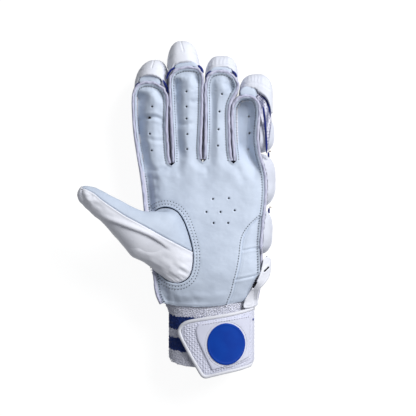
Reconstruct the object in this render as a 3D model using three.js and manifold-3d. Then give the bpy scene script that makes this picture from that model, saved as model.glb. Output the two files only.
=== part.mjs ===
// Cricket batting glove for the left hand, lying on its padded back with the palm up.
// Millimetres. +Z up, +Y towards the fingertips, +X towards the little finger.
// The glove is a hollow bag: a palm leather above, a back leather below and a gusset standing
// round each finger, with rolls and caps of foam outside it, a knitted cuff and a hook strap.
import * as THREE from "three";
import { mergeVertices } from "three/addons/utils/BufferGeometryUtils.js";
import Module from "manifold-3d";

const wasm = await Module();
wasm.setup();

// ---------------------------------------------------------------- driving sizes
const GAP = 0.35; // clearance kept between neighbouring pieces
const LEATHER = 2.0; // palm and back leather with their lining
const GUSSET = 1.6; // cloth side walls of the fingers
const RIM = 0.8; // the gusset's bound edge stands this far over the palm
const HAND_MID_X = 27; // middle of the hand, where palm and back are fullest
const ARCH = 0.0012; // palm falls and back rises by this times the distance squared
const THUMB_WALL = 2.0;
const CUFF = { cx: 28.5, cz: 27, rx: 36, rz: 20, wall: 3, power: 2.3, top: -78, hem: -131 };
const STRAP = { gap: 0.5, thick: 3.2, power: 2.3, binding: 1.7 };
const BADGE = { x: 42.9, y: -117.9, rx: 16.8, ry: 18.3, thick: 0.9 };

// height of the hollow's floor and of the palm's upper face along the hand
const HEIGHTS = [
  { y: -90, floor: 6.3, palm: 50.0 },
  { y: -70, floor: 9.0, palm: 50.6 },
  { y: -50, floor: 13.0, palm: 50.0 },
  { y: -25, floor: 16.3, palm: 47.4 },
  { y: 0, floor: 17.0, palm: 44.0 },
  { y: 45, floor: 17.0, palm: 40.6 },
  { y: 80, floor: 19.0, palm: 41.4 },
  { y: 105, floor: 22.0, palm: 43.6 },
  { y: 150, floor: 27.0, palm: 48.5 },
];

// outer edge of each finger's gusset, from its little-finger-side crotch round the tip; [x, y]
const INDEX = [[-14.9, -83.6], [-18.7, -75.2], [-20.4, -64.7], [-21.9, -51.5], [-24.1, -36.5], [-26.8, -18.9], [-29.2, -0.4], [-30.9, 17.2], [-33.1, 33.0], [-36.0, 49.7], [-38.4, 65.6], [-39.7, 80.5], [-40.0, 94.6], [-39.4, 103.4], [-36.9, 109.1], [-32.0, 111.9], [-25.0, 112.9], [-18.0, 111.1], [-12.4, 107.4], [-9.2, 101.6], [-8.3, 92.8], [-8.6, 81.4], [-8.8, 70.0], [-8.1, 56.8], [-7.2, 46.2], [-6.0, 40.9]];
const MIDDLE = [[-4.6, 41.4], [-4.8, 52.4], [-5.5, 65.6], [-6.2, 78.8], [-6.7, 89.3], [-7.2, 100.8], [-7.6, 110.4], [-6.7, 117.0], [-3.3, 122.3], [2.3, 124.9], [9.3, 125.8], [16.4, 125.0], [20.9, 121.9], [22.7, 115.7], [22.6, 105.2], [22.4, 92.0], [22.0, 78.8], [21.4, 65.6], [20.9, 52.4], [21.6, 44.4]];
const RING = [[23.1, 44.4], [23.7, 52.4], [24.1, 65.6], [24.3, 78.8], [24.2, 92.0], [23.9, 103.4], [24.5, 112.2], [27.1, 118.4], [31.8, 121.6], [38.4, 122.6], [45.4, 121.0], [51.0, 117.0], [53.6, 110.4], [52.8, 103.8], [49.7, 98.6], [47.1, 92.8], [46.1, 85.8], [46.3, 74.4], [46.6, 61.2], [47.3, 50.6], [48.8, 43.1]];
const LITTLE = [[50.0, 42.9], [49.1, 52.4], [48.2, 62.9], [47.7, 74.4], [47.5, 84.9], [48.2, 91.1], [51.4, 97.2], [55.1, 100.1], [61.2, 101.1], [67.0, 99.9], [71.2, 95.9], [72.9, 89.3], [73.0, 82.3], [72.0, 71.7], [71.6, 62.9], [72.7, 52.4], [75.3, 41.8], [78.0, 31.2], [78.8, 17.2], [78.0, 4.0], [76.6, -6.6], [75.2, -19.8], [74.4, -32.1], [74.7, -41.8], [74.9, -49.7], [74.4, -60.3], [72.7, -71.7], [70.5, -83.2]];
const FINGERS = { index: INDEX, middle: MIDDLE, ring: RING, little: LITTLE };
const CROTCHES = [[-5.3, 38.6], [22.4, 41.6], [49.4, 40.4]];
// lower edge of the palm leather, from the little-finger side to the thumb side
const PALM_END = [[69.2, -59.4], [64.3, -69.5], [59.7, -79.3], [48.9, -82.5], [38.7, -84.2], [26.0, -85.3], [12.8, -85.5], [-1.2, -84.9]];
// seam of the heel patch, from the edge of the hand down to the lower edge
const HEEL_SEAM = [[76.4, -4.4], [70.9, -8.4], [63.9, -15.0], [58.6, -22.9], [56.8, -29.5], [55.8, -40.0], [53.8, -51.5], [50.9, -62.9], [48.4, -73.5], [45.8, -80.1], [43.5, -87.0]];
// the hole in the palm that the thumb is sewn into
const THUMB_HOLE = [[-23.7, -11.0], [-21.0, -2.2], [-15.3, 1.5], [-7.4, 2.0], [0.0, -1.6], [4.9, -7.9], [8.9, -17.2], [12.4, -28.6], [14.3, -40.3], [13.1, -53.2], [9.3, -60.7], [1.4, -64.7], [-8.3, -62.9], [-16.6, -55.0], [-20.6, -40.0], [-23.0, -25.1]];
const FLAP = [[70.6, -60.9], [76.4, -43.4], [82.4, -43.0], [82.4, -55.0], [80.6, -60.7], [76.4, -66.0], [71.6, -71.7], [70.6, -84.6], [60.9, -85.6], [61.4, -79.6], [65.9, -70.4]];

// fingertip caps: centre, half sizes, the x range that each may fill, and the leather band at the
// fingertip: its x range and its width
const CAPS = [
  { name: "index_cap", finger: "index", x: -22.3, y: 107, z: 25.5, rx: 14.6, ry: 24.6, rz: 20.5, from: -60, to: -8.9, back: 97, bandFrom: -34.8, bandTo: -14.4, band: 4.4 },
  { name: "middle_cap", finger: "middle", x: 5.2, y: 120, z: 27.0, rx: 14.3, ry: 28.3, rz: 20.5, from: -8.4, to: 21.8, back: 106, bandFrom: -3.4, bandTo: 18.4, band: 4.0 },
  { name: "ring_cap", finger: "ring", x: 39.5, y: 112, z: 26.5, rx: 14.0, ry: 23.0, rz: 20.5, from: 23.2, to: 53.9, back: 103, bandFrom: 28.2, bandTo: 48.6, band: 3.4 },
  { name: "little_cap", finger: "little", x: 69.7, y: 95, z: 22.5, rx: 14.9, ry: 24.2, rz: 20.5, from: 54.5, to: 90, back: 86, bandFrom: 54.8, bandTo: 70.6, band: 6.0 },
];
// foam rolls under the back leather: centre x, y range, half width, lowest point, turn in degrees
const ROLLS = [
  { name: "index_roll_1", x: -24.2, y0: 71.5, y1: 96, rx: 14.6, low: 3.0, turn: 2 },
  { name: "index_roll_2", x: -22.4, y0: 43.5, y1: 70.5, rx: 13.9, low: 0.5, turn: 2 },
  { name: "middle_roll_1", x: 7.7, y0: 75.5, y1: 105, rx: 14.0, low: 4.0, turn: 0 },
  { name: "middle_roll_2", x: 8.2, y0: 45.5, y1: 74.5, rx: 12.4, low: 1.0, turn: 0 },
  { name: "ring_roll_1", x: 35.4, y0: 75.0, y1: 102, rx: 11.0, low: 3.5, turn: 0 },
  { name: "ring_roll_2", x: 35.4, y0: 46.0, y1: 74.0, rx: 10.9, low: 0.8, turn: 0 },
  { name: "index_hand_roll_1", x: -17.6, y0: 1.0, y1: 41.0, rx: 12.8, low: -0.8, turn: 3 },
  { name: "middle_hand_roll_1", x: 8.6, y0: 1.5, y1: 43.5, rx: 12.6, low: -1.4, turn: 1 },
  { name: "ring_hand_roll_1", x: 34.8, y0: 1.5, y1: 43.0, rx: 12.6, low: -1.4, turn: -1 },
  { name: "index_hand_roll_2", x: -11.6, y0: -43.0, y1: -0.5, rx: 11.2, low: -0.8, turn: 4 },
  { name: "middle_hand_roll_2", x: 11.4, y0: -43.0, y1: 0.0, rx: 11.2, low: -1.4, turn: 1 },
  { name: "ring_hand_roll_2", x: 34.2, y0: -43.0, y1: 0.0, rx: 11.0, low: -1.4, turn: -1 },
];
// rolls of the little finger's side, which wrap from the back up the edge of the hand
const SIDE_ROLLS = [
  { name: "little_roll", x: 67.4, y0: 51.0, y1: 84.5, rx: 18.8, z: 16.5, rz: 18.0 },
  { name: "side_roll_1", x: 67.7, y0: 2.2, y1: 50.0, rx: 19.4, z: 16.0, rz: 18.5 },
  { name: "side_roll_2", x: 65.4, y0: -40.5, y1: 1.0, rx: 19.2, z: 16.0, rz: 19.5 },
];
const WRIST_PAD = { x: 28, y0: -77, y1: -45, rx: 37, z: 6.5, rz: 7.0 };

// thumb sections past its root: centre, axis, half width across the palm view, half depth, and the
// angle of the seam between the palm-coloured leather and the white leather
const THUMB = [
  { x: -19.5, y: -26.5, z: 56.5, ax: -0.66, ay: 0.35, az: 0.66, up: 27.5, deep: 15.5, seam: 82 },
  { x: -28.5, y: -21.5, z: 60.2, ax: -0.86, ay: 0.46, az: 0.22, up: 22.5, deep: 14.2, seam: 73 },
  { x: -38.0, y: -17.0, z: 62.0, ax: -0.86, ay: 0.48, az: 0.16, up: 18.0, deep: 13.8, seam: 66 },
  { x: -47.5, y: -10.0, z: 63.6, ax: -0.85, ay: 0.5, az: 0.16, up: 15.2, deep: 13.2, seam: 68 },
  { x: -56.5, y: -2.8, z: 65.5, ax: -0.84, ay: 0.51, az: 0.18, up: 13.2, deep: 12.4, seam: 70 },
  { x: -67.5, y: 5.2, z: 68.0, ax: -0.85, ay: 0.49, az: 0.2, up: 10.9, deep: 11.4, seam: 67 },
  { x: -76.5, y: 11.2, z: 70.2, ax: -0.86, ay: 0.46, az: 0.21, up: 9.2, deep: 10.0, seam: 58 },
  { x: -82.5, y: 14.0, z: 71.8, ax: -0.88, ay: 0.42, az: 0.21, up: 6.6, deep: 7.2, seam: 56 },
  { x: -85.6, y: 15.6, z: 72.7, ax: -0.89, ay: 0.4, az: 0.21, up: 2.8, deep: 3.2, seam: 56 },
];
const THUMB_BACK_SEAM = -80;
const THUMB_PADS = [
  { name: "thumb_pad_tip", station: 5, along: 17.5, up: 10.5, deep: 9.5, drop: 8.5, shift: 1.5 },
  { name: "thumb_pad_base", station: 3, along: 15.5, up: 13.5, deep: 10.0, drop: 10.0, shift: 7.5 },
];

// strap edges on the palm side, from the little-finger side to the loose end; [x, y]
const STRAP_UPPER = [[68.8, -87.4], [60.4, -88.9], [46.3, -91.1], [28.7, -93.7], [15.5, -95.7], [7.6, -97.8], [2.7, -101.2], [0.2, -107.4]];
const STRAP_LOWER = [[68.8, -135.5], [56.8, -139.5], [41.9, -143.4], [28.0, -147.2], [22.5, -148.0], [15.5, -137.7], [7.6, -123.6], [0.2, -108.4]];
const STRAP_BACK = [
  { angle: 0, upper: -87.2, lower: -135.0 },
  { angle: -40, upper: -87.0, lower: -131.0 },
  { angle: -90, upper: -88.0, lower: -128.0 },
  { angle: -140, upper: -89.0, lower: -127.0 },
];
const PANEL = [[64.5, -93.5], [46.5, -95.6], [30.0, -98.2], [19.5, -100.0], [16.3, -104.5], [17.0, -113.0], [22.0, -124.0], [30.3, -141.0], [45.0, -136.8], [57.0, -133.2], [63.0, -130.2]];

// ---------------------------------------------------------------- helpers
const P = (x, y, z) => new THREE.Vector3(x, y, z);

// smooth value of a column of a table along its key
function along(table, key, column, at) {
  const n = table.length;
  if (at <= table[0][key]) return table[0][column];
  if (at >= table[n - 1][key]) return table[n - 1][column];
  let i = 0;
  while (table[i + 1][key] < at) i++;
  const a = table[i], b = table[i + 1], h = b[key] - a[key], t = (at - a[key]) / h;
  const slope = (k) => {
    const lo = table[Math.max(0, k - 1)], hi = table[Math.min(n - 1, k + 1)];
    return ((hi[column] - lo[column]) / (hi[key] - lo[key])) * h;
  };
  const t2 = t * t, t3 = t2 * t;
  return (2 * t3 - 3 * t2 + 1) * a[column] + (t3 - 2 * t2 + t) * slope(i) + (3 * t2 - 2 * t3) * b[column] + (t3 - t2) * slope(i + 1);
}
const archAt = (x) => ARCH * Math.min(55 * 55, (x - HAND_MID_X) ** 2);
const palmTop = (x, y) => along(HEIGHTS, "y", "palm", y) - archAt(x);
const floorTop = (x, y) => along(HEIGHTS, "y", "floor", y) + archAt(x);
const backBottom = (x, y) => floorTop(x, y) - LEATHER;

// closed geometry from vertices and triangles, turned so that its faces point out
function closed(vertices, triangles) {
  let volume = 0;
  for (const [a, b, c] of triangles)
    volume += vertices[a].dot(new THREE.Vector3().crossVectors(vertices[b], vertices[c]));
  const index = [];
  for (const [a, b, c] of triangles) index.push(a, ...(volume > 0 ? [b, c] : [c, b]));
  const g = new THREE.BufferGeometry().setFromPoints(vertices);
  g.setIndex(index);
  return g;
}

// wall between two nets of points, outer[i][j] and inner[i][j]; ring closes it in j
function wall(outer, inner, ring) {
  const rows = outer.length, cols = outer[0].length, v = [...outer.flat(), ...inner.flat()], t = [];
  const o = (i, j) => i * cols + (j % cols), n = (i, j) => rows * cols + i * cols + (j % cols);
  const quad = (a, b, c, d) => t.push([a, b, c], [a, c, d]);
  const last = ring ? cols : cols - 1;
  for (let i = 0; i < rows - 1; i++)
    for (let j = 0; j < last; j++) {
      quad(o(i, j), o(i, j + 1), o(i + 1, j + 1), o(i + 1, j));
      quad(n(i, j), n(i + 1, j), n(i + 1, j + 1), n(i, j + 1));
    }
  for (let j = 0; j < last; j++) {
    quad(o(0, j), n(0, j), n(0, j + 1), o(0, j + 1));
    quad(o(rows - 1, j), o(rows - 1, j + 1), n(rows - 1, j + 1), n(rows - 1, j));
  }
  if (!ring)
    for (let i = 0; i < rows - 1; i++) {
      quad(o(i, 0), o(i + 1, 0), n(i + 1, 0), n(i, 0));
      quad(o(i, cols - 1), n(i, cols - 1), n(i + 1, cols - 1), o(i + 1, cols - 1));
    }
  return closed(v, t);
}

// solid through rings of points, with flat ends
function loft(rings) {
  const m = rings[0].length, v = rings.flat(), t = [];
  for (let i = 0; i < rings.length - 1; i++)
    for (let j = 0; j < m; j++) {
      const a = i * m + j, b = i * m + ((j + 1) % m);
      t.push([a, b, b + m], [a, b + m, a + m]);
    }
  const end = (first, flip) => {
    const c = new THREE.Vector3();
    for (let j = 0; j < m; j++) c.add(v[first + j]);
    v.push(c.divideScalar(m));
    for (let j = 0; j < m; j++) {
      const a = first + j, b = first + ((j + 1) % m);
      t.push(flip ? [b, a, v.length - 1] : [a, b, v.length - 1]);
    }
  };
  end(0, true);
  end((rings.length - 1) * m, false);
  return closed(v, t);
}

// layer between two height functions over a rectangle
function layer(x0, x1, nx, y0, y1, ny, top, bottom) {
  const net = (f) => Array.from({ length: ny + 1 }, (_, i) => Array.from({ length: nx + 1 }, (_, j) => {
    const x = x0 + ((x1 - x0) * j) / nx, y = y0 + ((y1 - y0) * i) / ny;
    return P(x, y, f(x, y));
  }));
  return wall(net(top), net(bottom), false);
}

function prism(outline, z0, z1) {
  const shape = new THREE.Shape(outline.map(([x, y]) => new THREE.Vector2(x, y)));
  return new THREE.ExtrudeGeometry(shape, { depth: z1 - z0, bevelEnabled: false }).translate(0, 0, z0);
}

// rounded pillow: a ball whose sections are squarer than ellipses
function pillow(x, y, z, rx, ry, rz, power = 2.7, turn = 0, wide = 12, high = 8) {
  const g = new THREE.SphereGeometry(1, wide, high).rotateX(Math.PI / 2);
  const p = g.getAttribute("position");
  for (let i = 0; i < p.count; i++) {
    const v = P(p.getX(i), p.getY(i), p.getZ(i));
    const r = (Math.abs(v.x) ** power + Math.abs(v.y) ** power + Math.abs(v.z) ** power) ** (-1 / power);
    p.setXYZ(i, v.x * r * rx, v.y * r * ry, v.z * r * rz);
  }
  return g.rotateZ((turn * Math.PI) / 180).translate(x, y, z);
}

// outline moved sideways by a distance, to its left where that is positive
function moved(path, distance, ring = false) {
  const n = path.length;
  return path.map((p, i) => {
    const a = path[ring ? (i + n - 1) % n : Math.max(0, i - 1)], b = path[ring ? (i + 1) % n : Math.min(n - 1, i + 1)];
    const into = new THREE.Vector2(p[0] - a[0], p[1] - a[1]).normalize(), out = new THREE.Vector2(b[0] - p[0], b[1] - p[1]).normalize();
    if (!ring && i === 0) into.copy(out);
    if (!ring && i === n - 1) out.copy(into);
    const d = into.clone().add(out).normalize(), stretch = Math.min(1.6, 1 / Math.max(0.3, d.dot(out)));
    return [p[0] - d.y * distance * stretch, p[1] + d.x * distance * stretch];
  });
}

// a few points of a list, evenly spread, with both its ends
const spread = (list, count) => Array.from({ length: count }, (_, i) => list[Math.round((i * (list.length - 1)) / (count - 1))]);

// upright strip along a path, from a lower height to an upper one
function strip(path, thickness, low, high) {
  const inside = moved(path, -thickness);
  const net = (line) => line.map(([x, y]) => [P(x, y, high(x, y)), P(x, y, low(x, y))]);
  return wall(net(path), net(inside), false);
}

function toSolid(geometry) {
  const loose = geometry.index ? geometry.toNonIndexed() : geometry;
  const bare = new THREE.BufferGeometry().setAttribute("position", loose.getAttribute("position"));
  const g = mergeVertices(bare, 1e-4);
  return new wasm.Manifold(new wasm.Mesh({ numProp: 3, vertProperties: new Float32Array(g.attributes.position.array), triVerts: new Uint32Array(g.index.array) }));
}
function toGeometry(solid) {
  const m = solid.getMesh(), n = m.numProp, v = new Float32Array(m.numVert * 3);
  for (let i = 0; i < m.numVert; i++) for (let k = 0; k < 3; k++) v[3 * i + k] = m.vertProperties[n * i + k];
  const g = new THREE.BufferGeometry().setAttribute("position", new THREE.BufferAttribute(v, 3));
  g.setIndex(new THREE.BufferAttribute(new Uint32Array(m.triVerts), 1));
  return g;
}
// the largest body of a cut, so that no crumb is left beside it
function largest(solid) {
  return solid.decompose().sort((a, b) => b.volume() - a.volume())[0];
}
const box = (x0, x1, y0, y1, z0, z1) => toSolid(new THREE.BoxGeometry(x1 - x0, y1 - y0, z1 - z0).translate((x0 + x1) / 2, (y0 + y1) / 2, (z0 + z1) / 2));

// ---------------------------------------------------------------- materials
const finish = (color, roughness, metalness = 0) => new THREE.MeshStandardMaterial({ color, roughness, metalness });
const LOOKS = {
  palmLeather: finish(0xc3cfdf, 0.6),
  whiteLeather: finish(0xe9eaf0, 0.5),
  cloth: finish(0xdedaee, 0.85),
  backCloth: finish(0x243f8f, 0.85),
  towel: finish(0xd9dae6, 0.95),
  moulded: finish(0xe4e5ef, 0.45),
  badge: finish(0x103a9c, 0.4),
};

const glove = new THREE.Group();
const placed = new THREE.Group();
glove.add(placed);
function add(name, geometry, look) {
  const g = geometry.index ? geometry.toNonIndexed() : geometry;
  g.computeVertexNormals();
  const mesh = new THREE.Mesh(g, look);
  mesh.name = name;
  placed.add(mesh);
  return mesh;
}

// ---------------------------------------------------------------- the bag
const inset = GUSSET + GAP;
const innerPaths = Object.values(FINGERS).map((path) => moved(path, -inset));
const littleInner = innerPaths[3].slice(0, LITTLE.findIndex(([x, y]) => x > 60 && y < -45) + 1);
const palmOutline = [
  ...innerPaths[0], CROTCHES[0], ...innerPaths[1], CROTCHES[1], ...innerPaths[2], CROTCHES[2], ...littleInner, ...PALM_END,
];
const palmSheet = toSolid(layer(-48, 88, 8, -92, 136, 14, palmTop, (x, y) => palmTop(x, y) - LEATHER));
const heelArea = [...HEEL_SEAM, [95, -87], [95, -4.4]];
const palmCut = palmSheet.intersect(toSolid(prism(palmOutline, 0, 100)));
const palm = palmCut
  .subtract(toSolid(prism(THUMB_HOLE, 0, 100)))
  .subtract(toSolid(prism(heelArea, 0, 100)));
add("palm_leather", toGeometry(largest(palm)), LOOKS.palmLeather);
const patchArea = [...moved(HEEL_SEAM, GAP).map(([x, y]) => [x, y]), [95, -87], [95, -4.8]];
const patch = palmCut.intersect(toSolid(prism(patchArea, 0, 100)));
add("heel_patch", toGeometry(largest(patch)), LOOKS.palmLeather);

const outerOutline = [...INDEX, CROTCHES[0], ...MIDDLE, CROTCHES[1], ...RING, CROTCHES[2], ...LITTLE];
const backSheet = toSolid(layer(-48, 88, 8, -92, 136, 14, floorTop, backBottom));
const back = backSheet.intersect(toSolid(prism(outerOutline, -10, 100))).intersect(box(-100, 100, CUFF.top + GAP, 200, -10, 100));
add("back_leather", toGeometry(largest(back)), LOOKS.backCloth);

for (const [finger, path] of Object.entries(FINGERS)) {
  // the edge under the wrist flap stands lower, so that the flap can pass over it
  const high = (x, y) => palmTop(x, y) + RIM - (x > 60 ? 7.2 * THREE.MathUtils.smoothstep(-y, 33, 41) : 0);
  add(finger + "_gusset", strip(path, GUSSET, (x, y) => floorTop(x, y) + GAP, high), LOOKS.cloth);
}

// ---------------------------------------------------------------- fingertips
// everything outside the bag keeps clear of this
const keepOut = toSolid(prism(moved(outerOutline, GAP + 0.05, true), -20, 120)).intersect(
  toSolid(layer(-48, 88, 8, -92, 136, 14, () => 130, (x, y) => backBottom(x, y) - GAP)),
);
for (const cap of CAPS) {
  const path = FINGERS[cap.finger];
  const round = new THREE.CatmullRomCurve3(path.map(([x, y]) => P(x, y, 0)), false, "centripetal");
  const fine = moved(round.getSpacedPoints(400).map((p) => [p.x, p.y]), GAP + cap.band);
  // leather band lying round the end of the finger, on the palm side
  const arc = spread(fine.filter(([x, y]) => y > cap.back + 3 && x > cap.bandFrom && x < cap.bandTo), 9);
  add(cap.finger + "_tip_band", strip(arc, cap.band, (x, y) => palmTop(x, y) - 2.2, (x, y) => palmTop(x, y) - 0.4), LOOKS.palmLeather);
  const tip = spread(fine.filter(([, y]) => y > cap.back - 2), 17);
  const step = moved(tip, GAP);
  const stepArea = [...step, [step[step.length - 1][0], cap.back - 3], [step[0][0], cap.back - 3]];
  const shelf = toSolid(prism(stepArea, 0, 120)).intersect(toSolid(layer(-60, 100, 16, 70, 150, 10, () => 130, (x, y) => palmTop(x, y) - 2.2 - GAP)));
  const dome = toSolid(pillow(cap.x, cap.y, cap.z, cap.rx, cap.ry, cap.rz, 3.0, 0, 16, 11))
    .subtract(keepOut)
    .subtract(shelf)
    .intersect(box(cap.from, cap.to, cap.back, 200, 0, 100));
  add(cap.name, toGeometry(largest(dome)), LOOKS.whiteLeather);
}

// ---------------------------------------------------------------- foam rolls of the back
for (const roll of ROLLS) {
  const y = (roll.y0 + roll.y1) / 2, level = backBottom(roll.x, y) - 2;
  const body = toSolid(pillow(roll.x, y, level, roll.rx, (roll.y1 - roll.y0) / 2, level - roll.low, 2.8, roll.turn));
  add(roll.name, toGeometry(largest(body.subtract(keepOut).intersect(box(-100, 100, -150, 160, 0, 100)))), LOOKS.whiteLeather);
}
for (const roll of SIDE_ROLLS) {
  const body = toSolid(pillow(roll.x, (roll.y0 + roll.y1) / 2, roll.z, roll.rx, (roll.y1 - roll.y0) / 2, roll.rz, 3.0, 0, 16, 10));
  add(roll.name, toGeometry(largest(body.subtract(keepOut).intersect(box(-100, 100, -150, 160, 0, 100)))), LOOKS.whiteLeather);
}
{
  const w = WRIST_PAD;
  const body = toSolid(pillow(w.x, (w.y0 + w.y1) / 2, w.z, w.rx, (w.y1 - w.y0) / 2, w.rz, 3.2, 0, 16, 10));
  add("wrist_pad", toGeometry(largest(body.subtract(keepOut).intersect(box(-100, 100, -150, 160, 0, 100)))), LOOKS.whiteLeather);
}

// ---------------------------------------------------------------- thumb
const RING_STEPS = 16;
function thumbPoint(s, angle, grow) {
  const axis = P(s.ax, s.ay, s.az).normalize();
  const up = P(-axis.y, axis.x, 0).normalize().negate(); // across the thumb, level
  if (up.y < 0) up.negate();
  const over = new THREE.Vector3().crossVectors(up, axis).normalize();
  if (over.z < 0) over.negate();
  return P(s.x, s.y, s.z)
    .addScaledVector(up, (s.up + grow) * Math.cos(angle))
    .addScaledVector(over, (s.deep + grow) * Math.sin(angle));
}
// point of the root's oval at an angle: 0 towards the fingers, 90 degrees towards the palm's middle
const rootCurve = new THREE.CatmullRomCurve3(THUMB_HOLE.map(([x, y]) => P(x, y, 0)), true);
const rootPoints = rootCurve.getPoints(240);
const rootMid = P(-4.9, -31.4, 0);
function rootPoint(angle, grow, lift) {
  const d = P(19.2 * Math.sin(angle), 33.3 * Math.cos(angle), 0).normalize();
  let best = rootPoints[0], score = -2;
  for (const p of rootPoints) {
    const s = p.clone().sub(rootMid).normalize().dot(d);
    if (s > score) { score = s; best = p; }
  }
  const out = best.clone().sub(rootMid).normalize();
  const q = best.clone().addScaledVector(out, grow);
  q.z = palmTop(q.x, q.y) + lift;
  return q;
}
function thumbRing(i, from, to, steps, grow) {
  const ring = [];
  for (let j = 0; j <= steps; j++) {
    const a = from + ((to - from) * j) / steps;
    ring.push(i < 2 ? rootPoint(a, grow - GAP - 0.55, i ? 0.8 : -1.6) : thumbPoint(THUMB[i - 2], a, grow));
  }
  return ring;
}
const rad = (d) => (d * Math.PI) / 180;
const seamAt = (i) => (i < 2 ? rad(100) : rad(THUMB[i - 2].seam));
const widthAt = (i) => (i < 2 ? 26 : (THUMB[i - 2].up + THUMB[i - 2].deep) / 2);
const stations = THUMB.map((_, i) => i + 2);
function thumbHalf(name, fromAt, toAt, steps, look) {
  const outer = [], inner = [];
  for (const i of [0, 1, ...stations]) {
    const s = i < 2 ? null : THUMB[i - 2], w = s ? Math.min(THUMB_WALL, s.up - 0.7, s.deep - 0.7) : THUMB_WALL;
    const slack = 0.22 / widthAt(i);
    outer.push(thumbRing(i, fromAt(i) + slack, toAt(i) - slack, steps, 0));
    inner.push(thumbRing(i, fromAt(i) + slack, toAt(i) - slack, steps, -w));
  }
  add(name, wall(outer, inner, false), look);
}
thumbHalf("thumb_leather", () => rad(THUMB_BACK_SEAM), seamAt, 7, LOOKS.palmLeather);
thumbHalf("thumb_gusset", seamAt, () => rad(360 + THUMB_BACK_SEAM), 10, LOOKS.whiteLeather);

const thumbKeepOut = toSolid(loft([0, 1, ...stations].map((i) => {
  const ring = thumbRing(i, 0, 2 * Math.PI, RING_STEPS, GAP + 0.15);
  ring.pop();
  return ring;
})));
for (const pad of THUMB_PADS) {
  const s = THUMB[pad.station], axis = P(s.ax, s.ay, s.az).normalize();
  const up = P(-axis.y, axis.x, 0).normalize();
  if (up.y < 0) up.negate();
  const over = new THREE.Vector3().crossVectors(up, axis).normalize();
  if (over.z < 0) over.negate();
  const turned = new THREE.Matrix4().makeBasis(up, axis.clone().negate(), new THREE.Vector3().crossVectors(up, axis.clone().negate()));
  const centre = P(s.x, s.y, s.z).addScaledVector(over, -pad.drop).addScaledVector(axis, -pad.shift).addScaledVector(up, -2);
  const g = pillow(0, 0, 0, pad.up, pad.along, pad.deep, 2.6).applyMatrix4(turned).translate(centre.x, centre.y, centre.z);
  add(pad.name, toGeometry(largest(toSolid(g).subtract(thumbKeepOut))), LOOKS.whiteLeather);
}

// ---------------------------------------------------------------- cuff
// a point of the wrist's section at an angle: 0 on the little-finger side, 90 degrees on the palm side
function wristPoint(angle, y, grow) {
  const c = Math.cos(angle), s = Math.sin(angle), e = 2 / CUFF.power;
  return P(
    CUFF.cx + Math.sign(c) * (CUFF.rx + grow) * Math.abs(c) ** e,
    y,
    CUFF.cz + Math.sign(s) * (CUFF.rz + grow) * Math.abs(s) ** e,
  );
}
const CUFF_STEPS = 28;
const hem = (a) => CUFF.hem - 8.2 * Math.max(0, Math.sin(a)) ** 0.8;
const cuffNet = (grow) => [0, 1].map((t) => Array.from({ length: CUFF_STEPS }, (_, j) => {
  const a = (2 * Math.PI * j) / CUFF_STEPS;
  return wristPoint(a, CUFF.top + (hem(a) - CUFF.top) * t, grow);
}));
add("cuff", wall(cuffNet(0), cuffNet(-CUFF.wall), true), LOOKS.towel);

// ---------------------------------------------------------------- strap
// angle round the wrist at which the strap's outer face has a given x, on the palm side
const strapOut = STRAP.gap + STRAP.thick;
const angleOfX = (x, grow) => {
  const r = Math.min(1, Math.abs(x - CUFF.cx) / (CUFF.rx + grow)) ** (CUFF.power / 2);
  return x >= CUFF.cx ? Math.acos(r) : Math.PI - Math.acos(r);
};
const byX = (table, x) => {
  const rows = table.map(([a, b]) => ({ x: a, y: b })).sort((p, q) => p.x - q.x);
  for (let i = 0; i < rows.length - 1; i++)
    if (x <= rows[i + 1].x) {
      const t = Math.max(0, (x - rows[i].x) / (rows[i + 1].x - rows[i].x));
      return rows[i].y + t * (rows[i + 1].y - rows[i].y);
    }
  return rows[rows.length - 1].y;
};
const backRows = [...STRAP_BACK].sort((p, q) => p.angle - q.angle);
const rimIn = 2 * STRAP.binding + 2.2 * GAP; // the binding takes this much of the strap's edge
const strapColumns = [];
for (const angle of [-140, -120, -100, -80, -60, -40, -20, -8]) {
  const lower = along(backRows, "angle", "lower", angle), upper = along(backRows, "angle", "upper", angle);
  const round = angle === -140 ? 5 : 0;
  strapColumns.push({ a: rad(angle), upper: upper - rimIn - round, lower: lower + rimIn + round });
}
for (const x of [68.6, 66.5, 62, 56, 49, 42, 35, 28, 22.5, 17.5, 12.5, 8.5, 5.6]) {
  strapColumns.push({ a: angleOfX(x, strapOut), upper: byX(STRAP_UPPER, x) - rimIn - (x < 10 ? 1.4 : 0), lower: byX(STRAP_LOWER, x) + rimIn * (x < 23 ? 2.1 : 1) });
}
const strapNet = (grow) => strapColumns.map(({ a, upper, lower }) => [0, 0.5, 1].map((t) => wristPoint(a, upper + (lower - upper) * t, grow)));
add("strap", wall(strapNet(strapOut), strapNet(STRAP.gap), false), LOOKS.moulded);

const rimLine = [];
const bindAt = STRAP.gap + STRAP.thick / 2 + 0.15;
for (const angle of [-40, -30, -20, -10]) rimLine.push(wristPoint(rad(angle), along(backRows, "angle", "upper", angle) - STRAP.binding, bindAt));
for (const x of [66.8, 62, 56, 48, 40, 32, 24, 16, 10.5, 6.3]) rimLine.push(wristPoint(angleOfX(x, strapOut), byX(STRAP_UPPER, x) - STRAP.binding - (x < 8 ? 1 : 0), bindAt));
rimLine.push(wristPoint(angleOfX(3.2, strapOut), -104.2, bindAt), wristPoint(angleOfX(2.3, strapOut), -108.2, bindAt));
for (const [x, y] of [[4.4, -113.4], [8.4, -120.4], [12.4, -127.6], [17.0, -135.2], [21.2, -142.0], [23.6, -145.4], [27.4, -145.6]]) rimLine.push(wristPoint(angleOfX(x, strapOut), y, bindAt));
for (const x of [33, 40, 48, 56, 62, 66.8]) rimLine.push(wristPoint(angleOfX(x, strapOut), byX(STRAP_LOWER, x) + STRAP.binding, bindAt));
for (const angle of [-10, -20, -30, -40]) rimLine.push(wristPoint(rad(angle), along(backRows, "angle", "lower", angle) + STRAP.binding, bindAt));
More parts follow.
